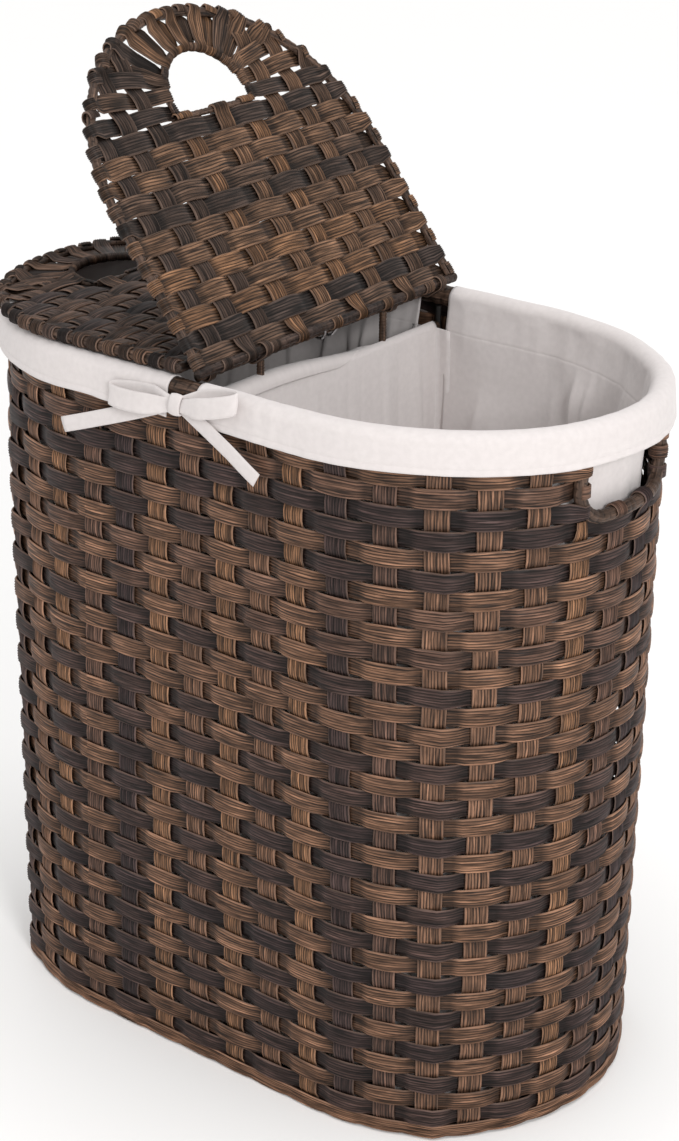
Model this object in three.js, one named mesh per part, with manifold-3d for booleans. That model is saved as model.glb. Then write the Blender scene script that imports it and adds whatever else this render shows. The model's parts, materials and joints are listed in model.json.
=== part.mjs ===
// Two-compartment woven laundry basket with an oval tub, two half lids on a shared centre rail,
// and two tied cotton liners. Millimetres, +Z up, origin at the centre of the base.
// +X is the long way towards the open compartment, -Y is the front with the first tie bow.
import * as THREE from 'three';
import { mergeVertices } from 'three/addons/utils/BufferGeometryUtils.js';
import Module from 'manifold-3d';

const wasm = await Module();
wasm.setup();

// ---------------------------------------------------------------- driving dimensions
const GAP = 0.3;                            // air left between touching pieces
const WELD = 1e-4;                          // points closer than this are one point
const BODY_HEIGHT = 600;                    // floor to the top of the wrapped rim
const FOOT_OVAL = { a: 288, b: 165, s: 126 };  // outer face at the floor: half length, half width,
const RIM_OVAL = { a: 293, b: 165, s: 104 };   // and half length of the straight sides
const STRAIGHT_SHARE = 0.152;               // share of the way round that one straight side takes
const WALL = 6;                             // woven wall
const WAY_ROUND = 1500;                     // length of the tub's outer face, once round

const BASE_RING = { height: 12, inward: 14, outward: 2, bevel: 2.5 };
const BASE_PANEL = { bottom: 3, thickness: 6 };
const RIM_ROD = { radius: 8, out: -5, sides: 10 };
const POST = { radius: 2.5, top: 583, corner: 0.062, sides: 10 };

const RAIL = { radius: 4, z: 601, halfLength: 151.5 };
const DIVIDER_RAIL = { radius: 4, z: 566, halfLength: 153 };
const DIVIDER_POST = { radius: 3, y: 78 };

const HANDLE = { halfWidth: 54, bottom: 525, top: 574, corner: 22, radius: 5, clearance: 1 };

const LINER_OVAL = { a: 271, b: 148, s: 112 };
const LINER = { cloth: 2, bottom: 9.5, top: 588, dividerX: 7, dividerTop: 560 };
const CUFF = { cloth: 1.7, hem: 571, flare: 1, endX: 14 };

const BOW = { knot: 18, thick: 6, faceY: 171.6, z: 586 };
const BOW_LOOP = { length: 56, wide: 17, thick: 6, angles: [172, 10] };
const BOW_TAIL = { wide: 12, thick: 2, lengths: [118, 85], angles: [198, -30] };

const HINGE = { x: 10, z: 608, rod: 4.5, halfLength: 162.5 };
const LID_OVAL = { a: 276.5, b: 158, s: 128 };  // border rod centre line, from the hinge axis
const LID_PANEL = { thickness: 7, notch: 10.5 };
const LID_ANGLE = 128;                      // how far a lid swings from shut to its stop
const HAND_HOLE = { centre: 200, radius: 46, barAt: 191, rod: 4, fillet: 8 };
const HINGE_RING = { y: 6, wire: 1.2, reach: 6 };
const LID_TIE = { near: 86, far: 140, wide: 8, cane: 1.4, reach: 5.2 };

// ---------------------------------------------------------------- materials
const paint = (color, roughness, metalness = 0) =>
  new THREE.MeshStandardMaterial({ color, roughness, metalness });
const WOVEN = paint(0x6e523b, 0.55);
const WRAPPED = paint(0x4a382c, 0.55);
const LID_WEAVE = paint(0x5d4a3c, 0.55);
const COTTON = paint(0xeeeae6, 0.95);
const FRAME_WIRE = paint(0x2b2a29, 0.5, 0.6);
const BRIGHT_WIRE = paint(0xc9cacc, 0.25, 1);

// ---------------------------------------------------------------- geometry helpers
const basket = new THREE.Group();

function add(name, geometry, material, group = basket) {
  const mesh = new THREE.Mesh(geometry, material);
  mesh.name = name;
  group.add(mesh);
  return mesh;
}

// A point of an oval with straight sides. share runs 0 to 1 anticlockwise from the front straight's
// left end: front straight, right end, rear straight, left end.
function ovalPoint(share, oval, out = 0) {
  const turn = ((share % 1) + 1) % 1;
  const side = turn < 0.5 ? 1 : -1;
  const along = turn % 0.5;
  if (along < STRAIGHT_SHARE) {
    return [side * oval.s * (2 * along / STRAIGHT_SHARE - 1), -side * (oval.b + out)];
  }
  const angle = Math.PI * ((along - STRAIGHT_SHARE) / (0.5 - STRAIGHT_SHARE) - 0.5);
  return [side * (oval.s + (oval.a + out - oval.s) * Math.cos(angle)), side * (oval.b + out) * Math.sin(angle)];
}

// The share at which the front straight passes x.
const frontShare = (x, oval) => STRAIGHT_SHARE * (x / oval.s + 1) / 2;

// The tub's outer oval at height z, from foot to rim.
function bodyOval(z) {
  const k = z / BODY_HEIGHT;
  const blend = (key) => THREE.MathUtils.lerp(FOOT_OVAL[key], RIM_OVAL[key], k);
  return { a: blend('a'), b: blend('b'), s: blend('s') };
}

const bodyPlace = (share, out, z) => [...ovalPoint(share, bodyOval(z), out), z];

// Evenly spaced shares, both ends included.
const spread = (from, to, steps) =>
  Array.from({ length: steps + 1 }, (_, i) => from + (to - from) * i / steps);

const END_STEPS = 22;
const rightEnd = () => spread(STRAIGHT_SHARE, 0.5, END_STEPS);
const leftEnd = () => spread(0.5 + STRAIGHT_SHARE, 1, END_STEPS);
const wholeLoop = () => [...rightEnd(), ...leftEnd()];

const circle = (radius, sides, cx = 0, cy = 0) => spread(0, 1 - 1 / sides, sides - 1)
  .map((t) => [cx + radius * Math.cos(2 * Math.PI * t), cy + radius * Math.sin(2 * Math.PI * t)]);

// Sweeps a closed section of [out, z] points through stations. place(station, out, z) gives the
// point in space. A closed sweep joins its last station to its first; an open one gets two caps.
function sweptSolid(section, stations, place, closed = false) {
  const count = section.length;
  const positions = stations.flatMap((station) => section.flatMap(([out, z]) => place(station, out, z)));
  const index = [];
  const spans = closed ? stations.length : stations.length - 1;
  for (let i = 0; i < spans; i++) {
    const near = i * count;
    const far = ((i + 1) % stations.length) * count;
    for (let j = 0; j < count; j++) {
      const next = (j + 1) % count;
      index.push(near + j, far + j, far + next, near + j, far + next, near + next);
    }
  }
  if (!closed) {
    const contour = section.map(([out, z]) => new THREE.Vector2(out, z));
    const turn = Math.sign(THREE.ShapeUtils.area(contour));
    const last = (stations.length - 1) * count;
    for (const [p, q, r] of THREE.ShapeUtils.triangulateShape(contour, [])) {
      const face = Math.sign(THREE.ShapeUtils.area([contour[p], contour[q], contour[r]]));
      const [u, v, w] = face === turn ? [p, q, r] : [p, r, q];
      index.push(u, v, w, last + u, last + w, last + v);
    }
  }
  const geometry = new THREE.BufferGeometry();
  geometry.setAttribute('position', new THREE.Float32BufferAttribute(positions, 3));
  geometry.setIndex(volumeOf(positions, index) < 0 ? index.reverse() : index);
  geometry.computeVertexNormals();
  return geometry;
}

// Six times the signed volume inside a triangle mesh.
function volumeOf(positions, index) {
  const corner = (i) => new THREE.Vector3().fromArray(positions, 3 * i);
  let total = 0;
  for (let i = 0; i < index.length; i += 3) {
    total += corner(index[i]).dot(corner(index[i + 1]).cross(corner(index[i + 2])));
  }
  return total;
}

function toManifold(geometry) {
  const bare = geometry.clone();
  bare.deleteAttribute('normal');
  bare.deleteAttribute('uv');
  const merged = mergeVertices(bare, WELD);
  return new wasm.Manifold(new wasm.Mesh({
    numProp: 3,
    vertProperties: new Float32Array(merged.attributes.position.array),
    triVerts: new Uint32Array(merged.index.array),
  }));
}

function fromManifold(solid) {
  const { vertProperties, triVerts } = solid.getMesh();
  const geometry = new THREE.BufferGeometry();
  geometry.setAttribute('position', new THREE.BufferAttribute(vertProperties, 3));
  geometry.setIndex(new THREE.BufferAttribute(triVerts, 1));
  geometry.computeVertexNormals();
  return geometry;
}

// A rod from one point to another, as a closed cylinder.
function rod(from, to, radius, sides = 12) {
  const start = new THREE.Vector3(...from);
  const run = new THREE.Vector3(...to).sub(start);
  const geometry = new THREE.CylinderGeometry(radius, radius, run.length(), sides);
  const turn = new THREE.Quaternion().setFromUnitVectors(new THREE.Vector3(0, 1, 0), run.clone().normalize());
  return geometry.applyQuaternion(turn).translate(...start.addScaledVector(run, 0.5).toArray());
}

// A round tube along a smooth open line of points.
function tube(points, radius, steps, sides) {
  const path = new THREE.CatmullRomCurve3(points.map((p) => new THREE.Vector3(...p)));
  const shape = new THREE.Shape(circle(radius, sides).map((p) => new THREE.Vector2(...p)));
  return new THREE.ExtrudeGeometry(shape, { steps, extrudePath: path, bevelEnabled: false });
}

// A flat outline of [x, y] points, with holes, given thickness along Z.
function slab(outline, bottom, thickness, holes = []) {
  const shape = new THREE.Shape(outline.map((p) => new THREE.Vector2(...p)));
  shape.holes = holes.map((hole) => new THREE.Path(hole.map((p) => new THREE.Vector2(...p))));
  const geometry = new THREE.ExtrudeGeometry(shape, { depth: thickness, bevelEnabled: false });
  return geometry.translate(0, 0, bottom);
}

// ---------------------------------------------------------------- base and frame
function buildBase() {
  const { height, inward, outward, bevel } = BASE_RING;
  const section = [
    [-inward, 0], [outward - bevel, 0], [outward, bevel],
    [outward, height - bevel], [outward - bevel, height], [-inward, height],
  ];
  add('base_ring', sweptSolid(section, wholeLoop(), bodyPlace, true), WRAPPED);
  const outline = wholeLoop().map((share) => ovalPoint(share, FOOT_OVAL, -inward - GAP));
  add('base_panel', slab(outline, BASE_PANEL.bottom, BASE_PANEL.thickness), WOVEN);
}

function buildFrame() {
  const rimSection = circle(RIM_ROD.radius, RIM_ROD.sides, RIM_ROD.out, BODY_HEIGHT - RIM_ROD.radius);
  add('rim_rod', sweptSolid(rimSection, wholeLoop(), bodyPlace, true), WRAPPED);

  const middle = STRAIGHT_SHARE / 2;
  const posts = {
    frame_post_front_left: 1 - POST.corner,
    frame_post_front_centre: middle,
    frame_post_front_right: STRAIGHT_SHARE + POST.corner,
    frame_post_rear_right: 0.5 - POST.corner,
    frame_post_rear_centre: 0.5 + middle,
    frame_post_rear_left: 0.5 + STRAIGHT_SHARE + POST.corner,
  };
  const out = -(WALL + 2 * GAP + POST.radius);
  for (const [name, share] of Object.entries(posts)) {
    const foot = bodyPlace(share, out, BASE_RING.height + GAP);
    add(name, rod(foot, bodyPlace(share, out, POST.top), POST.radius, POST.sides), FRAME_WIRE);
  }

  add('centre_rail', rod([0, -RAIL.halfLength, RAIL.z], [0, RAIL.halfLength, RAIL.z], RAIL.radius), WRAPPED);
  const { z, halfLength } = DIVIDER_RAIL;
  add('divider_rail', rod([0, -halfLength, z], [0, halfLength, z], DIVIDER_RAIL.radius), WRAPPED);
  for (const [name, side] of [['divider_post_front', -1], ['divider_post_rear', 1]]) {
    const y = side * DIVIDER_POST.y;
    const foot = [0, y, z + DIVIDER_RAIL.radius + GAP];
    add(name, rod(foot, [0, y, RAIL.z - RAIL.radius - GAP], DIVIDER_POST.radius, 10), WRAPPED);
  }
}

// ---------------------------------------------------------------- woven wall and handles
// The hand hole's U outline in [y, z], grown outwards by grow, from the top of one side to the other.
function handleOutline(grow, top) {
  const { halfWidth, bottom, corner } = HANDLE;
  const path = new THREE.Path();
  path.moveTo(-halfWidth - grow, top);
  path.lineTo(-halfWidth - grow, bottom + corner);
  path.absarc(-halfWidth + corner, bottom + corner, corner + grow, Math.PI, 1.5 * Math.PI);
  path.absarc(halfWidth - corner, bottom + corner, corner + grow, 1.5 * Math.PI, 2 * Math.PI);
  path.lineTo(halfWidth + grow, top);
  return path.getPoints(5).map((p) => [p.x, p.y]);
}

function buildWall() {
  const foot = BASE_RING.height + GAP;
  const head = BODY_HEIGHT - 2 * RIM_ROD.radius - GAP;
  const section = [[-WALL, foot], [0, foot], [0, head], [-WALL, head]];
  const seam = GAP / WAY_ROUND;
  const straight = (start) => [start + seam, start + STRAIGHT_SHARE - seam];
  add('wall_front', sweptSolid(section, straight(0), bodyPlace), WOVEN);
  add('wall_rear', sweptSolid(section, straight(0.5), bodyPlace), WOVEN);

  const edge = handleOutline(HANDLE.radius + HANDLE.clearance, HANDLE.top);
  const cutter = slab(edge, 0, FOOT_OVAL.a);
  cutter.applyMatrix4(new THREE.Matrix4().makeBasis(
    new THREE.Vector3(0, 1, 0), new THREE.Vector3(0, 0, 1), new THREE.Vector3(1, 0, 0)));
  cutter.translate(RIM_OVAL.s, 0, 0);
  const hole = toManifold(cutter);
  const rightWall = toManifold(sweptSolid(section, rightEnd(), bodyPlace)).subtract(hole);
  add('wall_right_end', fromManifold(rightWall), WOVEN);
  add('wall_left_end', fromManifold(rightWall), WOVEN).rotation.z = Math.PI;
}

function buildHandles() {
  const outline = handleOutline(0, HANDLE.top - HANDLE.clearance);
  const line = outline.map(([y, z]) => {
    const oval = bodyOval(z);
    const across = Math.sqrt(1 - (y / (oval.b - WALL / 2)) ** 2);
    return [oval.s + (oval.a - WALL / 2 - oval.s) * across, y, z];
  });
  const bar = () => tube(line, HANDLE.radius, 36, 8);
  add('handle_bar_right', bar(), WRAPPED);
  add('handle_bar_left', bar(), WRAPPED).rotation.z = Math.PI;
}

// ---------------------------------------------------------------- cotton liners and their bows
function buildLiner(name, turn) {
  const liner = new THREE.Group();
  liner.rotation.z = turn;
  basket.add(liner);

  const { cloth, bottom, top, dividerX, dividerTop } = LINER;
  const linerPlace = (share, out, z) => [...ovalPoint(share, LINER_OVAL, out), z];
  const start = frontShare(dividerX, LINER_OVAL);
  const sideStations = [start, ...rightEnd(), 0.5 + STRAIGHT_SHARE - start];
  const sideFoot = bottom + cloth + GAP;
  const side = [[-cloth, sideFoot], [0, sideFoot], [0, top], [-cloth, top]];
  add(`${name}_side`, sweptSolid(side, sideStations, linerPlace), COTTON, liner);

  const floor = sideStations.map((share) => ovalPoint(share, LINER_OVAL));
  add(`${name}_bottom`, slab(floor, bottom, cloth), COTTON, liner);

  const halfWidth = LINER_OVAL.b - cloth - GAP;
  const divider = new THREE.BoxGeometry(cloth, 2 * halfWidth, dividerTop - sideFoot);
  divider.translate(dividerX + cloth / 2, 0, (dividerTop + sideFoot) / 2);
  add(`${name}_divider`, divider, COTTON, liner);

  add(`${name}_cuff`, buildCuff(), COTTON, liner);
}

// The cuff folds from the inside over the rim rod and hangs down outside to its hem.
function buildCuff() {
  const centre = BODY_HEIGHT - RIM_ROD.radius;
  const near = RIM_ROD.radius + GAP;
  const far = near + CUFF.cloth;
  const over = (radius, from, to) => spread(from, to, 6)
    .map((angle) => [RIM_ROD.out + radius * Math.cos(angle), centre + radius * Math.sin(angle)]);
  const section = [
    [RIM_ROD.out - far, LINER.top + GAP],
    ...over(far, Math.PI, 0),
    [RIM_ROD.out + far + CUFF.flare, CUFF.hem],
    [RIM_ROD.out + near + CUFF.flare, CUFF.hem],
    ...over(near, 0, Math.PI),
    [RIM_ROD.out - near, LINER.top + GAP],
  ];
  const start = frontShare(CUFF.endX, RIM_OVAL);
  return sweptSolid(section, [start, ...rightEnd(), 0.5 + STRAIGHT_SHARE - start], bodyPlace);
}

// A flat strap of the bow: a box from the knot outwards, at an angle in degrees in the front plane.
function strap(length, wide, thick, angle) {
  const box = new THREE.BoxGeometry(length, thick, wide);
  box.translate(length / 2, 0, 0).rotateY(-THREE.MathUtils.degToRad(angle));
  return toManifold(box);
}

function buildBow(name, turn) {
  const { length, wide, thick } = BOW_LOOP;
  const loops = BOW_LOOP.angles.map((angle) => strap(length, wide, thick, angle));
  const tails = BOW_TAIL.angles
    .map((angle, i) => strap(BOW_TAIL.lengths[i], BOW_TAIL.wide, BOW_TAIL.thick, angle));
  const knot = toManifold(new THREE.BoxGeometry(BOW.knot, BOW.thick, BOW.knot));
  const solid = [...loops, ...tails].reduce((whole, piece) => whole.add(piece), knot);
  const group = new THREE.Group();
  group.rotation.z = turn;
  basket.add(group);
  add(name, fromManifold(solid), COTTON, group).position.set(0, -(BOW.faceY + BOW.thick / 2), BOW.z);
}

// ---------------------------------------------------------------- lids
// The lid's plan from its hinge axis: straight sides, then a half-oval end. grow moves it outwards.
function lidEdge(grow, startX) {
  const { a, b, s } = LID_OVAL;
  const arc = spread(-Math.PI / 2, Math.PI / 2, 30)
    .map((t) => [s + (a + grow - s) * Math.cos(t), (b + grow) * Math.sin(t)]);
  return [[startX, -(b + grow)], ...arc, [startX, b + grow]];
}

// The hand hole: a round arc closed by a straight bar, with filleted corners, grown by grow.
function handHole(grow) {
  const { centre, radius, barAt, fillet } = HAND_HOLE;
  const reach = radius + grow;
  const bar = barAt - grow;
  const bend = fillet + grow;
  const offset = centre - bar - bend;
  const away = Math.sqrt((reach - bend) ** 2 - offset ** 2);
  const lean = Math.atan2(away, -offset);
  const path = new THREE.Path();
  path.moveTo(bar, away);
  path.lineTo(bar, -away);
  path.absarc(bar + bend, -away, bend, Math.PI, 2 * Math.PI - lean);
  path.absarc(centre, 0, reach, -lean, lean);
  path.absarc(bar + bend, away, bend, lean, Math.PI);
  const points = path.getPoints(9).map((p) => [p.x, p.y]);
  return points.filter(([x, y], i) => {
    const [px, py] = points[(i + points.length - 1) % points.length];
    return Math.hypot(x - px, y - py) > WELD;
  });
}

// The hinge-side edge of the panel runs down in Y, with a notch at each ring and tie.
function hingeEdge(startX) {
  const ring = { y: HINGE_RING.y, half: HINGE_RING.wire + 2 };
  const ties = [LID_TIE.far, -LID_TIE.near].map((y) => ({ y, half: LID_TIE.wide / 2 + 1.5 }));
  return [ties[0], ring, ties[1]].flatMap(({ y, half }) => [
    [startX, y + half], [LID_PANEL.notch, y + half], [LID_PANEL.notch, y - half], [startX, y - half],
  ]);
}

function buildLid(name, group) {
  const inner = HINGE.rod + GAP;
  const reach = HINGE.halfLength;
  add(`${name}_hinge_rod`, rod([0, -reach, 0], [0, reach, 0], HINGE.rod), WRAPPED, group);
  add(`${name}_border_rod`, buildBorderRod(inner), WRAPPED, group);

  const plan = [...lidEdge(-inner, inner), ...hingeEdge(inner)];
  const { thickness } = LID_PANEL;
  const panel = slab(plan, -thickness / 2, thickness, [handHole(HAND_HOLE.rod + GAP)]);
  add(`${name}_panel`, panel, LID_WEAVE, group);

  const line = handHole(0);
  const ring = sweptSolid(circle(HAND_HOLE.rod, 8), line.keys().toArray(), loopPlace(line), true);
  add(`${name}_hand_hole_ring`, ring, WRAPPED, group);
}

function buildBorderRod(startX) {
  const line = lidEdge(0, startX);
  return sweptSolid(circle(HINGE.rod, 8), line.keys().toArray(), openPlace(line));
}

// Places a section along a flat line of points: out is across the line, z is up.
const openPlace = (line) => (i, out, z) => {
  const [bx, by] = line[Math.max(i - 1, 0)];
  const [nx, ny] = line[Math.min(i + 1, line.length - 1)];
  return offsetPoint(line[i], nx - bx, ny - by, out, z);
};
const loopPlace = (line) => (i, out, z) => {
  const [bx, by] = line[(i + line.length - 1) % line.length];
  const [nx, ny] = line[(i + 1) % line.length];
  return offsetPoint(line[i], nx - bx, ny - by, out, z);
};

function offsetPoint([x, y], dx, dy, out, z) {
  const run = Math.hypot(dx, dy);
  return [x + out * dy / run, y - out * dx / run, z];
}

// ---------------------------------------------------------------- hinge rings and cane ties
// A link round the centre rail and a lid's hinge rod, as a stadium of [x, z] points.
function linkOutline(reach) {
  const lean = Math.atan2(HINGE.z - RAIL.z, HINGE.x);
  const arc = (cx, cz, from) => spread(from, from + Math.PI, 10)
    .map((t) => [cx + reach * Math.cos(t), cz + reach * Math.sin(t)]);
  return [...arc(HINGE.x, HINGE.z, lean - Math.PI / 2), ...arc(0, RAIL.z, lean + Math.PI / 2)];
}

// Turns a shape drawn in X and Y into one drawn in X and Z, standing across Y.
const stand = (geometry, y) => geometry.rotateX(Math.PI / 2).translate(0, y, 0);

function buildHinge(side, turn) {
  const group = new THREE.Group();
  group.rotation.z = turn;
  basket.add(group);

  const line = linkOutline(HINGE_RING.reach);
  const ring = sweptSolid(circle(HINGE_RING.wire, 8), line.keys().toArray(), loopPlace(line), true);
  add(`hinge_ring_${side}`, stand(ring, HINGE_RING.y), BRIGHT_WIRE, group);

  const [inside, outside] = [LID_TIE.reach, LID_TIE.reach + LID_TIE.cane].map(linkOutline);
  const ends = turn === 0 ? ['rear', 'front'] : ['front', 'rear'];
  [LID_TIE.far, -LID_TIE.near].forEach((y, i) => {
    const band = slab(outside, -LID_TIE.wide / 2, LID_TIE.wide, [inside]);
    add(`lid_tie_${side}_${ends[i]}`, stand(band, y), WRAPPED, group);
  });
}

// ---------------------------------------------------------------- assembly
buildBase();
buildFrame();
buildWall();
buildHandles();
buildLiner('liner_right', 0);
buildLiner('liner_left', Math.PI);
buildBow('tie_bow_front', 0);
buildBow('tie_bow_rear', Math.PI);
buildHinge('right', 0);
buildHinge('left', Math.PI);

const rightLid = new THREE.Group();
rightLid.position.set(HINGE.x, 0, HINGE.z);
rightLid.rotation.y = -THREE.MathUtils.degToRad(LID_ANGLE);
const leftLid = new THREE.Group();
leftLid.position.set(-HINGE.x, 0, HINGE.z);
leftLid.rotation.z = Math.PI;
basket.add(rightLid, leftLid);
buildLid('right_lid', rightLid);
buildLid('left_lid', leftLid);

export default basket;
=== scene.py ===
"""Woven two-compartment laundry basket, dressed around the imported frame. Metres, +Z up, front at -Y."""

import json
import logging
import math
from collections.abc import Sequence
from dataclasses import dataclass, field
from enum import Enum

import bpy
import numpy as np
from mathutils import Matrix, Vector


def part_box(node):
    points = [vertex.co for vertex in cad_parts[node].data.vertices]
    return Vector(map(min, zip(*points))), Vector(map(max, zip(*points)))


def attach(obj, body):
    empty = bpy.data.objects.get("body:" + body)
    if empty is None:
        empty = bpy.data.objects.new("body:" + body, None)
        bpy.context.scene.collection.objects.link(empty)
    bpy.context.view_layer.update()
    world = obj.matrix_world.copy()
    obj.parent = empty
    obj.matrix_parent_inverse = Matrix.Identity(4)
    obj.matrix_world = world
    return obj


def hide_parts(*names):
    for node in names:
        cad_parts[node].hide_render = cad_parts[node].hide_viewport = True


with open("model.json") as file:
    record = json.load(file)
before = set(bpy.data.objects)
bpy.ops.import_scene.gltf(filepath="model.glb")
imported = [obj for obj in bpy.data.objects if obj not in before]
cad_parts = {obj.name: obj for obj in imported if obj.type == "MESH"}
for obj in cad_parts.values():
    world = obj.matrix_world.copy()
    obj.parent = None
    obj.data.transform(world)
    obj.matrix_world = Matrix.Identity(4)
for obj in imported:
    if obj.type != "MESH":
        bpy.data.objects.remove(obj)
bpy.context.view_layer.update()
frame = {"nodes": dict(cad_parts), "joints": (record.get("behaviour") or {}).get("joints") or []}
log = logging.getLogger("basket")

MM = 0.001
Array = np.ndarray

# The wound rim rod's radius, and how far its middle lies inside the tub's face.
RIM_RADIUS = 8 * MM
RIM_INSET = 5 * MM


# ------------------------------------------------------------------ small tools
def linear(code: str) -> tuple[float, float, float, float]:
    """Turn an sRGB hex colour into linear RGBA.

    Args:
        code: six hex digits after a hash, such as "#7a5a40".

    Returns:
        Linear red, green and blue with an alpha of 1.
    """
    parts = [int(code[i:i + 2], 16) / 255 for i in (1, 3, 5)]
    red, green, blue = (c / 12.92 if c <= 0.04045 else ((c + 0.055) / 1.055) ** 2.4 for c in parts)
    return red, green, blue, 1.0


def node(tree: bpy.types.NodeTree, kind: str, inputs: dict | None = None,
         **settings: object) -> bpy.types.Node:
    """Add a shader node, set it up and link its inputs.

    Args:
        tree: the material's node tree.
        kind: the node's type name.
        inputs: socket name or index to a value, or to the output socket that feeds it.
        settings: properties of the node itself.

    Returns:
        The new node.
    """
    made = tree.nodes.new(kind)
    for key, value in settings.items():
        setattr(made, key, value)
    for key, value in (inputs or {}).items():
        if isinstance(value, bpy.types.NodeSocket):
            tree.links.new(value, made.inputs[key])
        else:
            made.inputs[key].default_value = value
    return made


def blank_material(name: str) -> tuple[bpy.types.Material, bpy.types.NodeTree]:
    """Start a material with an empty node tree.

    Args:
        name: the material's name.

    Returns:
        The material and its tree.
    """
    material = bpy.data.materials.new(name)
    material.use_nodes = True
    material.node_tree.nodes.clear()
    return material, material.node_tree


def smoothstep(low: float, high: float, x: Array) -> Array:
    """Rise smoothly from 0 at low to 1 at high."""
    t = np.clip((x - low) / (high - low), 0, 1)
    return t * t * (3 - 2 * t)


def unit(vectors: Array) -> Array:
    """Scale each row to length 1."""
    return vectors / np.maximum(np.linalg.norm(vectors, axis=-1, keepdims=True), 1e-12)


def travelled(points: Array) -> Array:
    """Distance along a line of points, starting at 0."""
    return np.concatenate([[0.0], np.cumsum(np.linalg.norm(np.diff(points, axis=0), axis=1))])


@dataclass
class Wander:
    """A smooth, seeded wobble made of a few sine waves, about -1 to 1."""

    rng: np.random.Generator
    waves: int = 4
    slowest: float = 1.0

    def __post_init__(self) -> None:
        """Draw the waves."""
        self.rate = self.slowest * self.rng.uniform(1.0, 4.5, self.waves)
        self.phase = self.rng.uniform(0, 2 * math.pi, self.waves)
        self.size = self.rng.uniform(0.4, 1.0, self.waves) / self.waves * 1.6

    def at(self, x: Array) -> Array:
        """Read the wobble at x, whose unit is one turn of the slowest wave."""
        angle = 2 * math.pi * np.multiply.outer(np.asarray(x, float), self.rate) + self.phase
        return (np.sin(angle) * self.size).sum(-1)


@dataclass
class Surface:
    """Collects grids of points, their surface coordinates and their values into one mesh."""

    points: list[Array] = field(default_factory=list)
    loops: list[Array] = field(default_factory=list)
    sizes: list[Array] = field(default_factory=list)
    coordinates: list[Array] = field(default_factory=list)
    values: dict[str, list[Array]] = field(default_factory=dict)
    count: int = 0

    def grid(self, points: Array, u: Array, v: Array, closed_u: bool = False, closed_v: bool = False,
             values: dict[str, Array] | None = None) -> None:
        """Add a grid of points, joined to quads.

        Args:
            points: rows by columns by 3.
            u: surface coordinate of each row, with one more where the rows close on themselves.
            v: surface coordinate of each column, with one more where the columns close.
            closed_u: whether the last row joins the first.
            closed_v: whether the last column joins the first. An open run of rows then gets end caps.
            values: named numbers, one for each point.
        """
        rows, columns = points.shape[:2]
        i, j = np.meshgrid(np.arange(rows - (not closed_u)), np.arange(columns - (not closed_v)),
                           indexing="ij")
        i, j = i.ravel(), j.ravel()
        a, b = i * columns, ((i + 1) % rows) * columns
        k = (j + 1) % columns
        quads = np.stack([a + j, b + j, b + k, a + k], 1)
        spots = np.stack([np.stack([u[i], u[i + 1], u[i + 1], u[i]], 1),
                          np.stack([v[j], v[j], v[j + 1], v[j + 1]], 1)], 2)
        flat = points.reshape(-1, 3)
        faces, corners = [quads.ravel()], [spots.reshape(-1, 2)]
        sizes = [np.full(len(quads), 4)]
        if closed_v and not closed_u:
            ring = np.arange(columns)
            for face, at in ((ring, 0), (ring[::-1] + (rows - 1) * columns, -1)):
                faces.append(face)
                corners.append(np.stack([np.full(columns, u[at]), v[ring]], 1))
                sizes.append(np.array([columns]))
        if closed_v:
            corner = flat[quads] - flat.mean(0)
            turn = np.einsum("ij,ij->i", corner[:, 0], np.cross(corner[:, 1], corner[:, 2])).sum()
            if turn < 0:
                faces, corners = self._flipped(faces, corners, sizes)
        self.points.append(flat)
        self.loops.append(np.concatenate(faces) + self.count)
        self.coordinates.append(np.concatenate(corners))
        self.sizes.append(np.concatenate(sizes))
        self.count += len(flat)
        for name, value in (values or {}).items():
            self.values.setdefault(name, []).append(np.broadcast_to(value, points.shape[:2]).ravel())

    @staticmethod
    def _flipped(faces: list[Array], corners: list[Array],
                 sizes: list[Array]) -> tuple[list[Array], list[Array]]:
        """Turn every face of one grid over.

        Args:
            faces: corner numbers of each run of faces.
            corners: surface coordinates of those corners.
            sizes: how many corners each face of a run has.

        Returns:
            The faces and coordinates in reverse order.
        """
        turned, moved = [], []
        for face, corner, size in zip(faces, corners, sizes, strict=True):
            turned.append(face.reshape(len(size), -1)[:, ::-1].ravel())
            moved.append(corner.reshape(len(size), -1, 2)[:, ::-1].reshape(-1, 2))
        return turned, moved

    def to_object(self, name: str, material: bpy.types.Material,
                  matrix: Matrix | None = None) -> bpy.types.Object:
        """Make the mesh object, smooth shaded.

        Args:
            name: the piece's name.
            material: its one material.
            matrix: moves the points before they are stored.

        Returns:
            The object, linked to the scene.
        """
        mesh = bpy.data.meshes.new(name)
        points = np.concatenate(self.points)
        loops = np.concatenate(self.loops).astype(np.int32)
        sizes = np.concatenate(self.sizes).astype(np.int32)
        mesh.vertices.add(len(points))
        mesh.vertices.foreach_set("co", points.astype(np.float32).ravel())
        mesh.loops.add(len(loops))
        mesh.loops.foreach_set("vertex_index", loops)
        mesh.polygons.add(len(sizes))
        mesh.polygons.foreach_set("loop_start", np.concatenate([[0], np.cumsum(sizes)[:-1]]).astype(np.int32))
        mesh.update(calc_edges=True)
        layer = mesh.uv_layers.new(name="lay")
        layer.data.foreach_set("uv", np.concatenate(self.coordinates).astype(np.float32).ravel())
        for key, value in self.values.items():
            store = mesh.attributes.new(key, "FLOAT", "POINT")
            store.data.foreach_set("value", np.concatenate(value).astype(np.float32))
        mesh.polygons.foreach_set("use_smooth", np.ones(len(sizes), bool))
        mesh.materials.append(material)
        if matrix is not None:
            mesh.transform(matrix)
        made = bpy.data.objects.new(name, mesh)
        bpy.context.scene.collection.objects.link(made)
        return made


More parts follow.
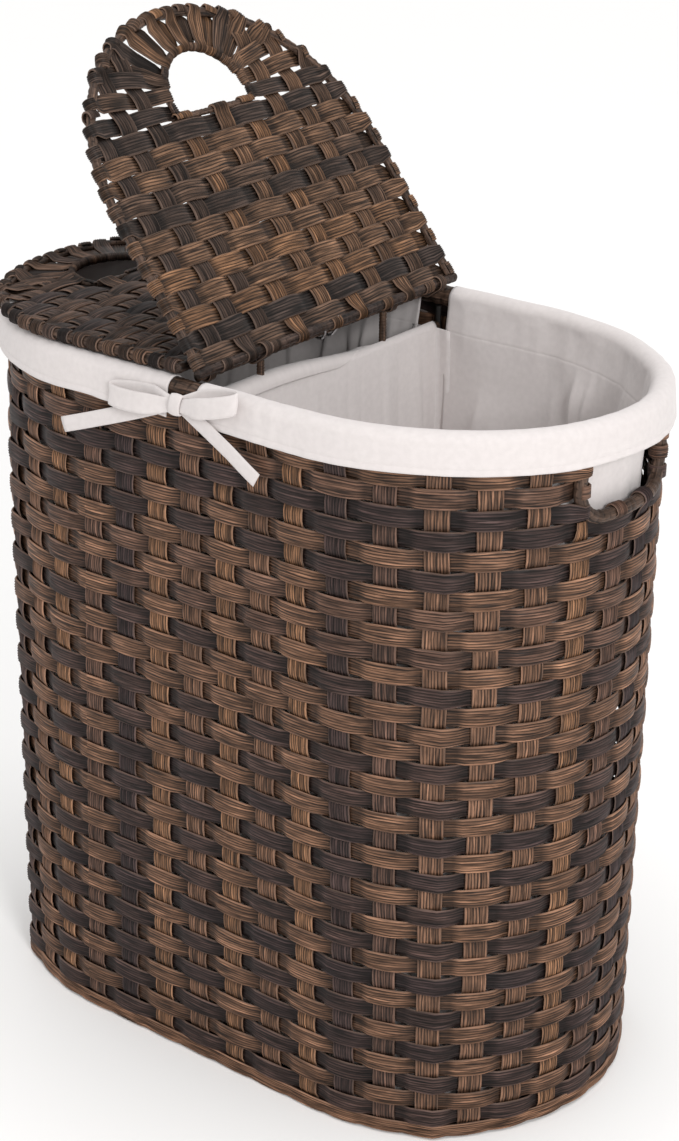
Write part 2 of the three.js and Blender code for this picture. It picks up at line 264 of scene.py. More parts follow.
def settle(piece: bpy.types.Object, body: str, nodes: Sequence[str]) -> bpy.types.Object:
    """Hang a finished piece on the frame and report it.

    Args:
        piece: the finished object.
        body: the body it moves with.
        nodes: the frame's own solids that it stands for.

    Returns:
        The same piece.
    """
    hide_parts(*nodes)
    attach(piece, body)
    log.info("%s: %d points on %s", piece.name, len(piece.data.vertices), body)
    return piece


# ------------------------------------------------------------------ finishes
class Tone(Enum):
    """The dye lots of the cane, as a share of brown, and how warm or grey the brown is."""

    BROWN = (0.85, 0.35)
    ORANGE = (1.0, 0.8)
    OLIVE = (0.7, 0.05)
    GREY = (0.5, 0.0)
    DARK = (0.08, 0.1)


TONE_OF = {"b": Tone.BROWN, "o": Tone.ORANGE, "g": Tone.GREY, "d": Tone.DARK}


@dataclass(frozen=True)
class ResinCane:
    """Extruded polyethylene cane: flat bundles of thin strands, which catch soft light along each strand. Its
    colour also carries painted highlight and shade along the strands and in the grooves.
    """

    name: str
    brown: str = "#7d5d4b"
    orange: str = "#8b6548"
    dark: str = "#3c2f2e"
    # Near-black colour of the painted shade in the grooves between strands.
    groove: str = "#080504"
    # Colour that the strip's edges are drawn paler towards.
    pale_edge: str = "#a48979"
    streak_mm: float = 2.1
    fine_mm: float = 0.75
    edge_paling: float = 0.34
    roughness: float = 0.46

    def build(self) -> bpy.types.Material:
        """Make the material from the strips' own tone, warmth, strand, groove and edge values, and the
        painted shade under crossings.

        Returns:
            The material.
        """
        material, tree = blank_material(self.name)
        lay = node(tree, "ShaderNodeUVMap", uv_map="lay").outputs["UV"]
        # Die lines run along the strand, so both noises are stretched that way. The real lines are about
        # 0.3 mm apart, and are drawn coarser, so that they show.
        lines_and_painted_light = self._lines(tree, lay, self.streak_mm, 16)
        fine = self._lines(tree, lay, self.fine_mm, 24)
        clouds = {"Vector": lay, "Scale": 28.0, "Detail": 2.0}
        cloudy = node(tree, "ShaderNodeTexNoise", clouds).outputs["Fac"]
        value = {key: node(tree, "ShaderNodeAttribute", attribute_name=key).outputs["Fac"]
                 for key in ("tone", "warmth", "strand", "groove", "edge", "painted_under_shade")}
        # Each strand is lighter or darker by its own dye and its lines, with painted highlight and shade in
        # the coarse lines.
        factors = []
        for source, low, high in ((lines_and_painted_light, 0.22, 1.72), (fine, 0.6, 1.38), (cloudy, 0.78, 1.2)):
            span = {"Value": source, "From Min": 0.33, "From Max": 0.67, "To Min": low, "To Max": high}
            factors.append(node(tree, "ShaderNodeMapRange", span).outputs[0])
        # Painted shade where the cane dives under the next strip.
        for key, low, high in (("strand", 0.58, 1.32), ("painted_under_shade", 1.0, 0.42)):
            span = {"Value": value[key], "To Min": low, "To Max": high}
            factors.append(node(tree, "ShaderNodeMapRange", span).outputs[0])
        light = factors[0]
        for factor in factors[1:]:
            light = node(tree, "ShaderNodeMath", {0: light, 1: factor}, operation="MULTIPLY").outputs[0]
        warmth = {0: value["warmth"], 6: linear(self.brown), 7: linear(self.orange)}
        hue = node(tree, "ShaderNodeMix", warmth, data_type="RGBA").outputs[2]
        dye = {0: value["tone"], 6: linear(self.dark), 7: hue}
        dyed = node(tree, "ShaderNodeMix", dye, data_type="RGBA").outputs[2]
        lit = node(tree, "ShaderNodeVectorMath", {0: dyed, "Scale": light}, operation="SCALE").outputs[0]
        # The strip's edges are drawn paler, towards the pale edge colour.
        paling = node(tree, "ShaderNodeMath", {0: value["edge"], 1: self.edge_paling}, operation="MULTIPLY")
        edge_mix = {0: paling.outputs[0], 6: lit, 7: linear(self.pale_edge)}
        pale_edge = node(tree, "ShaderNodeMix", edge_mix, data_type="RGBA").outputs[2]
        # Painted shade: the grooves between strands, and a little of the edges and back, are mixed towards
        # the near-black groove colour.
        groove_shade = node(tree, "ShaderNodeMapRange", {"Value": value["groove"], "From Min": 0.35, "To Max": 0.93})
        depth = {0: groove_shade.outputs[0], 6: pale_edge, 7: linear(self.groove)}
        colour = node(tree, "ShaderNodeMix", depth, data_type="RGBA").outputs[2]
        rough = node(tree, "ShaderNodeMapRange", {"Value": lines_and_painted_light, "To Min": self.roughness - 0.14,
                                                  "To Max": self.roughness + 0.16})
        ridges = node(tree, "ShaderNodeBump", {"Height": lines_and_painted_light, "Strength": 0.75, "Distance": 0.7 * MM})
        bump = node(tree, "ShaderNodeBump", {"Height": fine, "Strength": 0.5, "Distance": 0.3 * MM,
                                             "Normal": ridges.outputs[0]})
        shader = node(tree, "ShaderNodeBsdfPrincipled", {"Base Color": colour, "Roughness": rough.outputs[0],
                                                         "Normal": bump.outputs[0], "IOR": 1.5,
                                                         "Specular IOR Level": 0.2})
        node(tree, "ShaderNodeOutputMaterial", {"Surface": shader.outputs[0]})
        return material

    @staticmethod
    def _lines(tree: bpy.types.NodeTree, lay: bpy.types.NodeSocket, width_mm: float,
               length: float) -> bpy.types.NodeSocket:
        """Noise drawn out into lines of a width, and some times as long.

        Args:
            tree: the material's node tree.
            lay: the surface coordinates.
            width_mm: width of one line.
            length: a line's length in widths.

        Returns:
            The noise, 0 to 1.
        """
        scale = 1 / (width_mm * MM)
        drawn = node(tree, "ShaderNodeMapping", {"Vector": lay, "Scale": (scale / length, scale, 1)})
        lines = {"Vector": drawn.outputs[0], "Scale": 1.0, "Detail": 3.0}
        return node(tree, "ShaderNodeTexNoise", lines).outputs["Fac"]


@dataclass(frozen=True)
class CottonCloth:
    """Plain woven cotton: matt, with a soft fuzz of sheen and a fine grid of threads."""

    name: str
    colour: str = "#d3ccca"
    shade: str = "#cec7c5"
    thread_mm: float = 1.1
    roughness: float = 0.92

    def build(self) -> bpy.types.Material:
        """Make the material.

        Returns:
            The material.
        """
        material, tree = blank_material(self.name)
        lay = node(tree, "ShaderNodeUVMap", uv_map="lay").outputs["UV"]
        # Real threads are about 0.4 mm apart. They are drawn at more than twice that, so that they show.
        turns = 2 * math.pi / (self.thread_mm * MM)
        scaled = node(tree, "ShaderNodeVectorMath", {0: lay, 1: (turns, turns, 0)}, operation="MULTIPLY")
        parts = node(tree, "ShaderNodeSeparateXYZ", {0: scaled.outputs[0]})
        warp = node(tree, "ShaderNodeMath", {0: parts.outputs[0]}, operation="SINE")
        weft = node(tree, "ShaderNodeMath", {0: parts.outputs[1]}, operation="SINE")
        grid = node(tree, "ShaderNodeMath", {0: warp.outputs[0], 1: weft.outputs[0]}, operation="MULTIPLY")
        place = node(tree, "ShaderNodeTexCoord").outputs["Object"]
        slub = node(tree, "ShaderNodeTexNoise", {"Vector": lay, "Scale": 190.0, "Detail": 4.0})
        crease = node(tree, "ShaderNodeTexNoise", {"Vector": place, "Scale": 11.0, "Detail": 2.0,
                                                   "Distortion": 1.2})
        tint = node(tree, "ShaderNodeMapRange", {"Value": slub.outputs["Fac"],
                                                 "From Min": 0.35, "From Max": 0.65})
        dyes = {0: tint.outputs[0], 6: linear(self.shade), 7: linear(self.colour)}
        colour = node(tree, "ShaderNodeMix", dyes, data_type="RGBA").outputs[2]
        weave = node(tree, "ShaderNodeBump", {"Height": grid.outputs[0], "Strength": 0.25,
                                              "Distance": 0.08 * MM})
        soft = node(tree, "ShaderNodeBump", {"Height": crease.outputs["Fac"], "Strength": 0.2,
                                             "Distance": 5 * MM, "Normal": weave.outputs[0]})
        shader = node(tree, "ShaderNodeBsdfPrincipled", {
            "Base Color": colour, "Roughness": self.roughness, "Normal": soft.outputs[0], "IOR": 1.46,
            "Sheen Weight": 0.25, "Sheen Roughness": 0.5})
        node(tree, "ShaderNodeOutputMaterial", {"Surface": shader.outputs[0]})
        return material


@dataclass(frozen=True)
class Wire:
    """Drawn steel wire, bright or lacquered: fine scuffing of its bump and roughness breaks up the highlight.
    """

    name: str
    colour: str
    metallic: float
    roughness: float

    def build(self) -> bpy.types.Material:
        """Make the material.

        Returns:
            The material.
        """
        material, tree = blank_material(self.name)
        place = node(tree, "ShaderNodeTexCoord").outputs["Object"]
        scuff = node(tree, "ShaderNodeTexNoise", {"Vector": place, "Scale": 900.0, "Detail": 3.0})
        rough = node(tree, "ShaderNodeMapRange", {"Value": scuff.outputs["Fac"],
                                                  "To Min": self.roughness - 0.06,
                                                  "To Max": self.roughness + 0.12})
        bump = node(tree, "ShaderNodeBump", {"Height": scuff.outputs["Fac"], "Strength": 0.15,
                                             "Distance": 0.05 * MM})
        shader = node(tree, "ShaderNodeBsdfPrincipled", {"Base Color": linear(self.colour),
                                                         "Metallic": self.metallic,
                                                         "Roughness": rough.outputs[0],
                                                         "Normal": bump.outputs[0]})
        node(tree, "ShaderNodeOutputMaterial", {"Surface": shader.outputs[0]})
        return material


# ------------------------------------------------------------------ strips and wound rods
@dataclass(frozen=True)
class Strip:
    """The section of a flat bundle of strands: lobed on its face, flat behind."""

    strands: int = 7
    thickness: float = 1.9 * MM
    groove: float = 0.8 * MM
    crown: float = 0.6 * MM
    both_sides: bool = False

    def lay(self, surface: Surface, line: Array, outward: Array, half_width: Array, rng: np.random.Generator,
            tone: Tone, over: Array, closed: bool = False) -> None:
        """Lay one strip along a line.

        Args:
            surface: collects the mesh.
            line: centre of the strip at each station.
            outward: unit vector out of the strip's face at each station.
            half_width: half the strip's width at each station.
            rng: seeded draws for this strip.
            tone: its dye lot.
            over: 1 where the strip passes over the one it crosses, -1 where it passes under.
            closed: whether the line joins itself.
        """
        ahead = np.roll(line, -1, 0) - np.roll(line, 1, 0) if closed else np.gradient(line, axis=0)
        sideways = unit(np.cross(outward, unit(ahead)))
        outward = unit(np.cross(unit(ahead), sideways))
        loop = np.concatenate([line, line[:1]]) if closed else line
        along = travelled(loop)

        front = np.linspace(-1, 1, 2 * self.strands + 1)
        valley = np.arange(len(front)) % 2 == 0
        height = self.thickness / 2 + self.crown * (1 - front ** 2) - np.where(valley, self.groove, 0)
        height[[0, -1]] = 0
        # Painted shade: full in the valleys between strands, a little at the edges, and more on the flat
        # back.
        groove_shade = valley.astype(float)
        groove_shade[[0, -1]] = 0.2
        # The strip's edges are drawn paler.
        pale_edge = np.zeros(len(front))
        pale_edge[[0, -1]] = 1
        if self.both_sides:
            across = np.concatenate([front, front[-2:0:-1]])
            height = np.concatenate([height, -height[-2:0:-1]])
            groove_shade = np.concatenate([groove_shade, groove_shade[-2:0:-1]])
            pale_edge = np.concatenate([pale_edge, pale_edge[-2:0:-1]])
        else:
            across = np.concatenate([front, [0.85, 0, -0.85]])
            height = np.concatenate([height, np.full(3, -self.thickness / 2)])
            groove_shade = np.append(groove_shade, [0.4] * 3)
            pale_edge = np.append(pale_edge, [0.0] * 3)

        drift = np.stack([Wander(rng, slowest=1 / 0.12).at(along[:len(line)]) for _ in front], 1)
        drift *= 0.55 / self.strands
        drift[:, [0, -1]] *= 0.4
        back = drift[:, -2:0:-1] if self.both_sides else np.zeros((len(line), 3))
        reach = (across + np.concatenate([drift, back], 1)) * half_width[:, None]
        rise = np.broadcast_to(height, reach.shape)
        points = line[:, None] + sideways[:, None] * reach[..., None] + outward[:, None] * rise[..., None]
        strand = rng.random(len(front))
        strand = np.append(strand, strand[-2:0:-1] if self.both_sides else [0.5] * 3)
        # Painted shade: the cane is darker where it dives under the strip that it crosses.
        under_shade = np.repeat(self._under_shade_of(over), len(across), 1)
        if self.both_sides:
            under_shade[:, len(front):] = self._under_shade_of(-over)
        brown = tone.value[0] + rng.uniform(-0.09, 0.09)
        width = 2 * float(half_width.mean())
        steps = np.abs(np.diff(np.append(across, across[0]))) + 0.04
        v = np.concatenate([[0.0], np.cumsum(steps)]) * width / 2
        surface.grid(points, along + rng.uniform(0, 5), v + rng.uniform(0, 5), closed, True, {
            "tone": np.array(np.clip(brown, 0, 1)), "warmth": np.array(tone.value[1]),
            "strand": strand[None], "groove": groove_shade[None], "edge": pale_edge[None], "painted_under_shade": under_shade})

    @staticmethod
    def _under_shade_of(over: Array) -> Array:
        """Share of painted shade where the strip passes under the next one, as one column."""
        return smoothstep(0.6, -0.1, over)[:, None]


TURN_STATIONS = 9


def wrapped(over: Array, rods: tuple[float, float]) -> Array:
    """Over and under of a strip, with the stations that wrap_round adds at its ends."""
    return np.pad(over, tuple(TURN_STATIONS if radius else 0 for radius in rods), constant_values=0.6)


def wrap_round(base: Array, outward: Array, height: Array, half: Array, rods: tuple[float, float],
               sides: tuple[int, int], turn: float = 3.7) -> tuple[Array, Array, Array]:
    """Bend the ends of a strip round the rods that they reach.

    Args:
        base: the strip's line in the plane of the rods' centres, from one rod's centre to the other's.
        outward: unit vector out of that plane at each station.
        height: how far the strip stands out of the plane at each station.
        half: half the strip's width at each station.
        rods: radius that the strip bends at, at the start and at the end. 0 leaves that end straight.
        sides: 1 where the strip first passes outside the rod, -1 where it first passes behind it.
        turn: how far round the rod it goes, in radians.

    Returns:
        Line, outward vectors and half widths of the whole strip.
    """
    height, half = height.copy(), half.copy()
    near = np.linalg.norm(base - base[0], axis=1)
    far = np.linalg.norm(base - base[-1], axis=1)
    for away, radius, side in ((near, rods[0], sides[0]), (far, rods[1], sides[1])):
        if radius:
            pull = smoothstep(9 * MM, 0.0, away)
            height = height * (1 - pull) + side * radius * pull
            half = half * (1 - (0.05 if radius < 4 * MM else 0.36) * pull)
    line = base + outward * height[:, None]
    lines, faces, halves = [line], [outward], [half]
    angle = np.linspace(0.3, turn, TURN_STATIONS)[:, None]
    for end, inner, radius, side in ((0, 1, rods[0], sides[0]), (-1, -2, rods[1], sides[1])):
        if not radius:
            continue
        way = base[end] - base[inner]
        way = unit(way - outward[end] * (way @ outward[end]))
        spoke = np.sin(angle) * way + side * np.cos(angle) * outward[end]
        order = slice(None, None, -1) if end == 0 else slice(None)
        at = 0 if end == 0 else len(lines)
        lines.insert(at, (base[end] + radius * spoke)[order])
        faces.insert(at, (side * spoke)[order])
        halves.insert(at, np.full(TURN_STATIONS, half[end]))
    return np.concatenate(lines), np.concatenate(faces), np.concatenate(halves)


def frames_along(ahead: Array) -> tuple[Array, Array]:
    """Carry a side direction along a line without twist.

    Args:
        ahead: unit vector along the line at each station.

    Returns:
        Unit vectors to the side and up at each station.
    """
    seed = np.array([0.0, 0.0, 1.0]) if abs(ahead[0][2]) < 0.9 else np.array([1.0, 0.0, 0.0])
    side = np.empty_like(ahead)
    last = np.cross(seed, ahead[0])
    for i, way in enumerate(ahead):
        last = last - way * (last @ way)
        last = last / np.linalg.norm(last)
        side[i] = last
    return side, np.cross(ahead, side)


@dataclass(frozen=True)
class Winding:
    """A rod wound with a narrow strip of cane: each turn stands up as a slanting ridge."""

    radius: float
    pitch: float = 7 * MM
    ridge: float = 0.9 * MM
    around: int = 14
    step: float = 1.5 * MM

    def wind(self, surface: Surface, path: Array, rng: np.random.Generator, tone: Tone,
             closed: bool = False) -> None:
        """Wind a rod along a path.

        Args:
            surface: collects the mesh.
            path: points of the rod's centre line.
            rng: seeded draws for this rod.
            tone: the dye lot of its strip.
            closed: whether the path joins itself.
        """
        loop = np.concatenate([path, path[:1]]) if closed else path
        length = travelled(loop)
        count = max(4, round(length[-1] / self.step))
        at = np.linspace(0, length[-1], count + 1)
        line = np.stack([np.interp(at, length, loop[:, k]) for k in range(3)], 1)
        if closed:
            line = line[:-1]
            ahead = unit(np.roll(line, -1, 0) - np.roll(line, 1, 0))
        else:
            ahead = unit(np.gradient(line, axis=0))
        side, up = frames_along(ahead)
        turns = length[-1] / self.pitch
        pitch = length[-1] / round(turns) if closed else self.pitch
        angle = np.arange(self.around) / self.around * 2 * math.pi
        where = at[:len(line)]
        # The turns aren't quite even, each has its own dye, and the winding is fatter here and there.
        loose = Wander(rng, slowest=1 / 0.06).at(where) * 0.12
        phase = (where / pitch + loose)[:, None] + angle[None] / (2 * math.pi)
        turn = phase % 1.0
        crown = np.sin(math.pi * turn) ** 0.6
        lobes = np.abs(np.sin(3 * math.pi * turn))
        fat = 1 + 0.05 * Wander(rng, slowest=1 / 0.03).at(where)[:, None]
        radius = (self.radius - self.ridge * 0.55) * fat + self.ridge * (0.75 * crown + 0.25 * lobes)
        points = line[:, None] + radius[..., None] * (
            np.cos(angle)[None, :, None] * side[:, None] + np.sin(angle)[None, :, None] * up[:, None])
        u = np.append(angle, 2 * math.pi) * self.radius
        number = np.floor(phase).astype(int)
        lots = rng.random(int(number.max()) + 3)
        # Painted highlight on the crests of each turn's lobes, and painted shade, through the groove value,
        # in the gaps between turns.
        surface.grid(points, at + rng.uniform(0, 5), u + rng.uniform(0, 5), closed, True, {
            "tone": np.clip(tone.value[0] + 0.25 * (lots[number] - 0.5), 0, 1),
            "warmth": np.array(tone.value[1]), "strand": lots[number - 1] * 0.6 + 0.4 * lobes,
            "groove": 1 - smoothstep(0.0, 0.75, crown)})


def tube(surface: Surface, path: Array, radius: float, around: int = 12, closed: bool = False) -> None:
    """Add a plain round tube along a path.

    Args:
        surface: collects the mesh.
        path: points of the centre line.
        radius: the tube's radius.
        around: points round the tube.
        closed: whether the path joins itself.
    """
    ahead = unit(np.roll(path, -1, 0) - np.roll(path, 1, 0)) if closed else unit(np.gradient(path, axis=0))
    side, up = frames_along(ahead)
    angle = np.arange(around) / around * 2 * math.pi
    points = path[:, None] + radius * (np.cos(angle)[None, :, None] * side[:, None]
                                       + np.sin(angle)[None, :, None] * up[:, None])
    loop = np.concatenate([path, path[:1]]) if closed else path
    surface.grid(points, travelled(loop), np.append(angle, 2 * math.pi) * radius, closed, True)


# ------------------------------------------------------------------ the tub's shape
@dataclass(frozen=True)
class Oval:
    """A plan with straight front and rear and half-oval ends: half length, half width, half straight."""

    a: float
    b: float
    s: float


@dataclass(frozen=True)
class Tub:
    """The tub's outer face, which blends from the foot oval to the rim oval. share runs 0 to 1 round it."""

    foot: Oval
    rim: Oval
    height: float
    straight_share: float = 0.152
    corner_posts: tuple[float, ...] = (0.223, 0.429, 0.723, 0.929)
    corner_stands: float = 5.5 * MM
    corner_spread: float = 0.012
    crease_fades: tuple[float, float] = (0.56, 0.48)

    def flat(self, share: Array, z: Array, out: Array) -> Array:
        """Plan point at a share, a height and a distance out of the face.

        Args:
            share: how far round the tub, 0 to 1.
            z: height.
            out: distance out of the face.

        Returns:
            X and Y of each point.
        """
        share, z, out = np.broadcast_arrays(np.asarray(share, float), z, out)
        k = z / self.height
        a, b, s = (lo + (hi - lo) * k for lo, hi in
                   ((self.foot.a, self.rim.a), (self.foot.b, self.rim.b), (self.foot.s, self.rim.s)))
        turn = share % 1
        side = np.where(turn < 0.5, 1.0, -1.0)
        along = turn % 0.5
        on_straight = along < self.straight_share
        angle = math.pi * ((along - self.straight_share) / (0.5 - self.straight_share) - 0.5)
        x = np.where(on_straight, s * (2 * along / self.straight_share - 1),
                     s + (a + out - s) * np.cos(angle))
        y = np.where(on_straight, -(b + out), (b + out) * np.sin(angle))
        return np.stack([side * x, side * y], -1)

    def point(self, share: Array, z: Array, out: Array) -> Array:
        """Point in space at a share, a height and a distance out of the face."""
        plan = self.flat(share, z, out)
        return np.concatenate([plan, np.broadcast_to(z, plan.shape[:-1])[..., None]], -1)

    def normal(self, share: Array, z: Array) -> Array:
        """Outward unit vector, level with the floor.

        Args:
            share: how far round the tub, 0 to 1.
            z: height.

        Returns:
            One unit vector for each point.
        """
        step = 1e-4
        run = self.flat(np.asarray(share) + step, z, 0.0) - self.flat(np.asarray(share) - step, z, 0.0)
        return unit(np.stack([run[..., 1], -run[..., 0], np.zeros(run.shape[:-1])], -1))

    def creased(self, share: Array, z: Array) -> Array:
        """How far the weave stands out where it bends round the four corner posts, below the cuff.

        Args:
            share: how far round the tub, 0 to 1.
            z: height.

        Returns:
            Distance out at each point.
        """
        away = np.abs((np.asarray(share)[..., None] - np.array(self.corner_posts) + 0.5) % 1 - 0.5)
        stands = self.corner_stands * np.exp(-away / self.corner_spread).sum(-1)
        return stands * smoothstep(*self.crease_fades, z)

    def share_past(self, centre: float, half_y: float, z: float) -> float:
        """How much share lies between an end's centre and the point half_y to its side."""
        ahead = np.linspace(0, 0.17, 400)
        return float(np.interp(half_y, np.abs(self.flat(centre + ahead, z, 0.0)[:, 1]), ahead))

    def front_share(self, x: float, z: float) -> float:
        """The share at which the front straight passes x."""
        s = self.foot.s + (self.rim.s - self.foot.s) * z / self.height
        return self.straight_share * (x / s + 1) / 2


def read_tub() -> Tub:
    """Work out the tub's shape from the frame's base ring and rim rod.

    Returns:
        The tub's shape.
    """
    ring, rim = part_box("base_ring")[1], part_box("rim_rod")[1]
    lip, rod_out = 2 * MM, 3 * MM
    return Tub(foot=Oval(ring.x - lip, ring.y - lip, 126 * MM),
               rim=Oval(rim.x - rod_out, rim.y - rod_out, 104 * MM), height=rim.z)


@dataclass
class WovenTub:
    """Wall of the tub: level rows woven over and under upright stakes, one by one."""

    tub: Tub
    cane: bpy.types.Material
    stakes: int = 42
    first_stake: float = 0.19
    stake_half: float = 9.2 * MM
    stake_foot: float = 6 * MM
    stake_top: float = 590 * MM
    row_pitch: float = 15.6 * MM
    first_row: float = 4.2 * MM
    rows: int = 38
    middle: float = -3.4 * MM
    row_swing: float = 2.2 * MM
    stake_swing: float = 1.3 * MM
    bar_bend: float = 6.2 * MM
    bar_fold: float = 6.3 * MM
    stake_tones: str = "gdobobodgbbbogdbgbdbobgdbdbobgdbbgodbgbdbobo"

    def tone_of_row(self, row: int) -> Tone:
        """Rows alternate dark and brown, with a few of another dye lot."""
        odd_ones = {23: Tone.BROWN, 27: Tone.GREY, 29: Tone.OLIVE,
                    34: Tone.DARK, 35: Tone.OLIVE, 36: Tone.BROWN}
        return odd_ones.get(row, Tone.DARK if row % 2 else Tone.BROWN)

    def swing(self, phase: Array) -> Array:
        """Over and under as -1 to 1, with flattened floats. It is 1 where the row passes over."""
        wave = np.cos(math.pi * phase)
        return np.sign(wave) * np.abs(wave) ** 0.5

    def build(self) -> None:
        """Build the rows in three pieces and the stakes in two."""
        rng = np.random.default_rng(11)
        # Each band of rows runs right round the tub. Between them they stand for all four walls.
        bands = {"rows_lower": range(0, 13), "rows_middle": range(13, 26), "rows_upper": range(26, self.rows)}
        walls = {"rows_lower": ["wall_front"], "rows_middle": ["wall_rear"],
                 "rows_upper": ["wall_right_end", "wall_left_end"]}
        for name, rows in bands.items():
            surface = Surface()
            for row in rows:
                self._row(surface, row, rng)
            settle(surface.to_object(f"woven_{name}", self.cane), "basket", walls[name])
        half_way = self.stakes // 2
        for name, stakes in {"front": range(half_way), "rear": range(half_way, self.stakes)}.items():
            surface = Surface()
            for stake in stakes:
                self._stake(surface, stake, rng)
            piece = surface.to_object(f"woven_stakes_{name}", self.cane)
            settle(piece, "basket", [f"wall_{name}"])

    def _row(self, surface: Surface, row: int, rng: np.random.Generator) -> None:
        """Lay one row, cut where the hand holes are.

        Args:
            surface: collects the mesh.
            row: its number from the floor up.
            rng: seeded draws.
        """
        z = self.first_row + self.row_pitch * row
        low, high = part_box("handle_bar_right")
        if not low.z + 5 * MM < z < high.z + 3 * MM:
            self._run(surface, row, z, np.arange(252) / 252, rng, True)
            return
        past = self.tub.share_past(self._end(1), high.y - 5 * MM, z)
        for start in (self._end(-1) - 1, self._end(1)):
            self._run(surface, row, z, np.linspace(start + past, start + 0.5 - past, 124), rng, False)

    def _end(self, side: int) -> float:
        """The share at the centre of the right end, 1, or the left end, -1."""
        centre = (self.tub.straight_share + 0.5) / 2
        return centre if side > 0 else centre + 0.5

    def _run(self, surface: Surface, row: int, z: float, share: Array, rng: np.random.Generator,
             closed: bool) -> None:
        """Lay one stretch of a row. A cut one wraps the upright parts of the hand holes' bars.

        Args:
            surface: collects the mesh.
            row: its number from the floor up.
            z: its height.
            share: stations round the tub, 0 to 1.
            rng: seeded draws.
            closed: whether it goes right round.
        """
        over = self.swing(share * self.stakes - self.first_stake + row)
        waves = np.sin(2 * math.pi * (share * rng.integers(2, 6) + rng.random()))
        shorter = np.sin(2 * math.pi * (share * rng.integers(9, 15) + rng.random()))
        level = z + 0.6 * MM * waves + 0.35 * MM * shorter
        half = (7.0 + 1.1 * np.abs(over) ** 0.7) * MM
        if row == 0:
            # The lowest row is narrower and stays outside the stakes.
            level = level + 3.4 * MM
            half = half * 0.74
            over = 0.4 + 0.6 * np.abs(over)
        height = self.row_swing * over + rng.uniform(-0.2, 0.2) * MM
        normal = self.tub.normal(share, level)
        base = self.tub.point(share, level, self.middle + self.tub.creased(share, level))
        tone = self.tone_of_row(row)
        if closed:
            Strip().lay(surface, base + normal * height[:, None], normal, half, rng, tone, over, True)
            return
        rods = (self.bar_bend, self.bar_bend)
        sides = (1 if row % 2 else -1, -1 if row % 2 else 1)
        bent = wrap_round(base, normal, height, half, rods, sides)
        Strip().lay(surface, *bent, rng, tone, wrapped(over, rods))

    def _stake(self, surface: Surface, stake: int, rng: np.random.Generator) -> None:
        """Stand one stake behind the lowest row. At a hand hole it folds over the bar or ends beside it.

        Args:
            surface: collects the mesh.
            stake: its number, from the left of the front.
            rng: seeded draws.
        """
        share = (stake + self.first_stake) / self.stakes
        low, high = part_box("handle_bar_right")
        nearest = min((self._end(1), self._end(-1)), key=lambda end: abs(end - share))
        # How far the stake stands from the middle of the nearest hand hole, in half widths of the hole.
        aside = abs(share - nearest) / self.tub.share_past(self._end(1), high.y, 0.55)
        folds = aside < 0.75
        ends = 0.75 <= aside < 1.15
        top = low.z + 5 * MM if folds or ends else self.stake_top
        z = np.linspace(self.stake_foot, top, int((top - self.stake_foot) / (5.2 * MM)))
        over = -self.swing((z - self.first_row) / self.row_pitch + stake)
        # The lowest row passes outside every stake.
        clear = smoothstep(9 * MM, 17 * MM, z)
        height = self.stake_swing * over * clear - 1.8 * MM * (1 - clear)
        half = np.full(len(z), self.stake_half) * rng.uniform(0.94, 1.05)
        lean = 0.5 * MM * Wander(rng, slowest=1 / 0.3).at(z) / 1.5
        base = self.tub.point(share + lean, z, self.middle + self.tub.creased(np.full(len(z), share), z))
        normal = self.tub.normal(share + lean, z)
        if ends:
            half = half * (1 - 0.5 * smoothstep(top - 26 * MM, top, z))
        rods = (0, self.bar_fold if folds else 0)
        line, facing, half = wrap_round(base, normal, height, half, rods, (1, 1), 3.5)
        Strip(strands=8, crown=0.25 * MM, thickness=1.6 * MM).lay(
            surface, line, facing, half, rng, TONE_OF[self.stake_tones[stake]], wrapped(over, rods))


